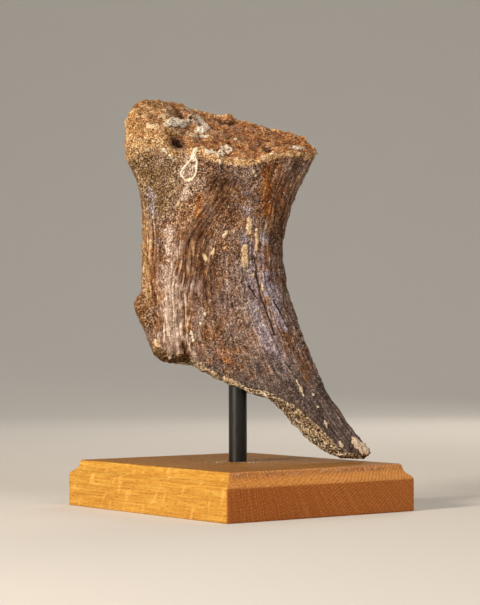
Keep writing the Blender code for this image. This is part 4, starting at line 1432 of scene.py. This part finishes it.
def dressBase():
    piece = buildBase()
    piece.data.materials.append(oakMaterial())
    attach(piece, "root")
    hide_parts("oak_base")


dressBase()
print("base dressed")


# The rod


rodForm = {
    "radius": 5.0,
    "low": 10.7,
    "high": 99.7,
    "chamfer": 0.8,
    "lowChamfer": 0.5,
    "inner": 0.4,  # the end faces' inner ring, as a share of the radius
    "rings": 40,
    "ringsFromEnd": 2,  # mm
    "sides": 96,
    "sharpAngle": 35,
}


def buildRod():
    # A profile of (radius, height) turned about the rod's axis.
    f = rodForm
    radius, low, high, apart = f["radius"], f["low"], f["high"], f["ringsFromEnd"]
    profile = [(radius * f["inner"], low), (radius - f["lowChamfer"], low), (radius, low + f["lowChamfer"])]
    profile += [(radius, z) for z in np.linspace(low + apart, high - apart, f["rings"])]
    profile += [(radius, high - f["chamfer"]), (radius - f["chamfer"], high), (radius * f["inner"], high)]
    profile = np.array(profile)
    points = spun(profile[:, :1], profile[:, 1:], f["sides"])
    piece = makePiece("blackRod", points, gridFaces(len(points), f["sides"]))
    piece.data.set_sharp_from_angle(angle=math.radians(f["sharpAngle"]))
    return piece


rodPaint = {
    "streaks": (1.2, 1.2, 5),  # mm
    "streakRange": (0.3, 0.7),
    "shades": ("080706", "121110"),
    "roughness": (0.3, 0.48),
    "ior": 1.5,
    "bumpStrength": 0.25,
    "bumpHeight": 0.06,  # mm
}


def rodMaterial():
    # Steel bar under a thin black satin paint: the drawn bar's faint lengthwise lines show in the gloss.
    material, add, setSurface = newMaterial("satinBlackPaintedSteel")
    where = add("TexCoord", out="Object")
    drawn = add("Mapping", None, where, None, None, finer(*rodPaint["streaks"]))
    streak = add("TexNoise", None, drawn, 1.0, 3.0)
    colour = add("ValToRGB", list(zip(rodPaint["streakRange"], rodPaint["shades"])), streak)
    rough = add("MapRange", None, streak, *rodPaint["streakRange"], *rodPaint["roughness"])
    normal = add("Bump", None, rodPaint["bumpStrength"], rodPaint["bumpHeight"] * mm, 0.1, streak)
    setSurface({"Base Color": colour, "Roughness": rough, "Normal": normal, "IOR": rodPaint["ior"]})
    return material


def dressRod():
    piece = buildRod()
    piece.data.materials.append(rodMaterial())
    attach(piece, "root")
    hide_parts("support_rod")


dressRod()
print("rod dressed")


# The studio


studio = {
    "innerRadius": 1,
    "flatRings": (60, 1300, 12),  # from and to, mm, and the rings' number
    "bendRadius": 1500,
    "bendSteps": 40,
    "wallHeight": 3600,
    "sides": 128,
    "floorColour": "D8D5CF",
    "floorRoughness": 0.9,
    "world": ("DDE2E8", 0.12),
    # Lights as name: place in mm as the viewer sees it, point aimed at, size in mm, watts, colour
    "lights": {
        "keyLight": ((-905, -875, 500), (0, 0, 110), 330, 19.8, "FFF2E2"),
        "fillLight": ((700, -1000, 900), (0, 0, 110), 700, 5, "F4F2F4"),
        "topLight": ((-300, -200, 1300), (0, 0, 110), 700, 4.6, "FFEEDA"),
        "rimLight": ((500, 1100, 650), (0, 0, 130), 700, 4, "FFF0E0"),
        "wallLight": ((0, 800, 1300), (0, 2700, 300), 1000, 6, "FFFFFF"),
    },
}


def buildStudio():
    # A round floor that curves up into a wall, made by turning one profile, so that no edge shows.
    f = studio
    bend = np.linspace(0, np.pi / 2, f["bendSteps"] + 1)
    flat = np.linspace(*f["flatRings"])
    r = np.concatenate([[f["innerRadius"]], flat[:-1], flat[-1] + f["bendRadius"] * np.sin(bend)])
    z = np.concatenate([0 * flat, f["bendRadius"] * (1 - np.cos(bend))])
    r, z = np.append(r, r[-1]), np.append(z, f["wallHeight"])
    points = spun(r[:, None], z[:, None], f["sides"])
    floor = makePiece("paleStudioFloor", points, gridFaces(len(points), f["sides"]), closed=False)
    # Flat emulsion paint: pale and without a gloss, so that shadows read softly on it.
    material, _, setSurface = newMaterial("mattePaintedFloor")
    setSurface({"Base Color": linear(f["floorColour"]), "Roughness": f["floorRoughness"]})
    floor.data.materials.append(material)
    world = bpy.data.worlds.new("studioWorld")
    world.use_nodes = True
    background = world.node_tree.nodes["Background"]
    background.inputs["Color"].default_value = linear(f["world"][0])
    background.inputs["Strength"].default_value = f["world"][1]
    bpy.context.scene.world = world
    bpy.context.scene.view_settings.view_transform = "Standard"
    for name, (place, aim, size, watts, colour) in f["lights"].items():
        place, aim = turnToBase(np.array([place, aim], float))
        data = bpy.data.lights.new(name, "AREA")
        data.shape = "DISK"
        data.size = size * mm
        data.energy = watts
        data.color = linear(colour)[:3]
        light = bpy.data.objects.new(name, data)
        light.location = place * mm
        light.visible_camera = False
        light.rotation_euler = Vector(place - aim).to_track_quat("Z", "Y").to_euler()
        bpy.context.scene.collection.objects.link(light)


buildStudio()
print("studio lit")
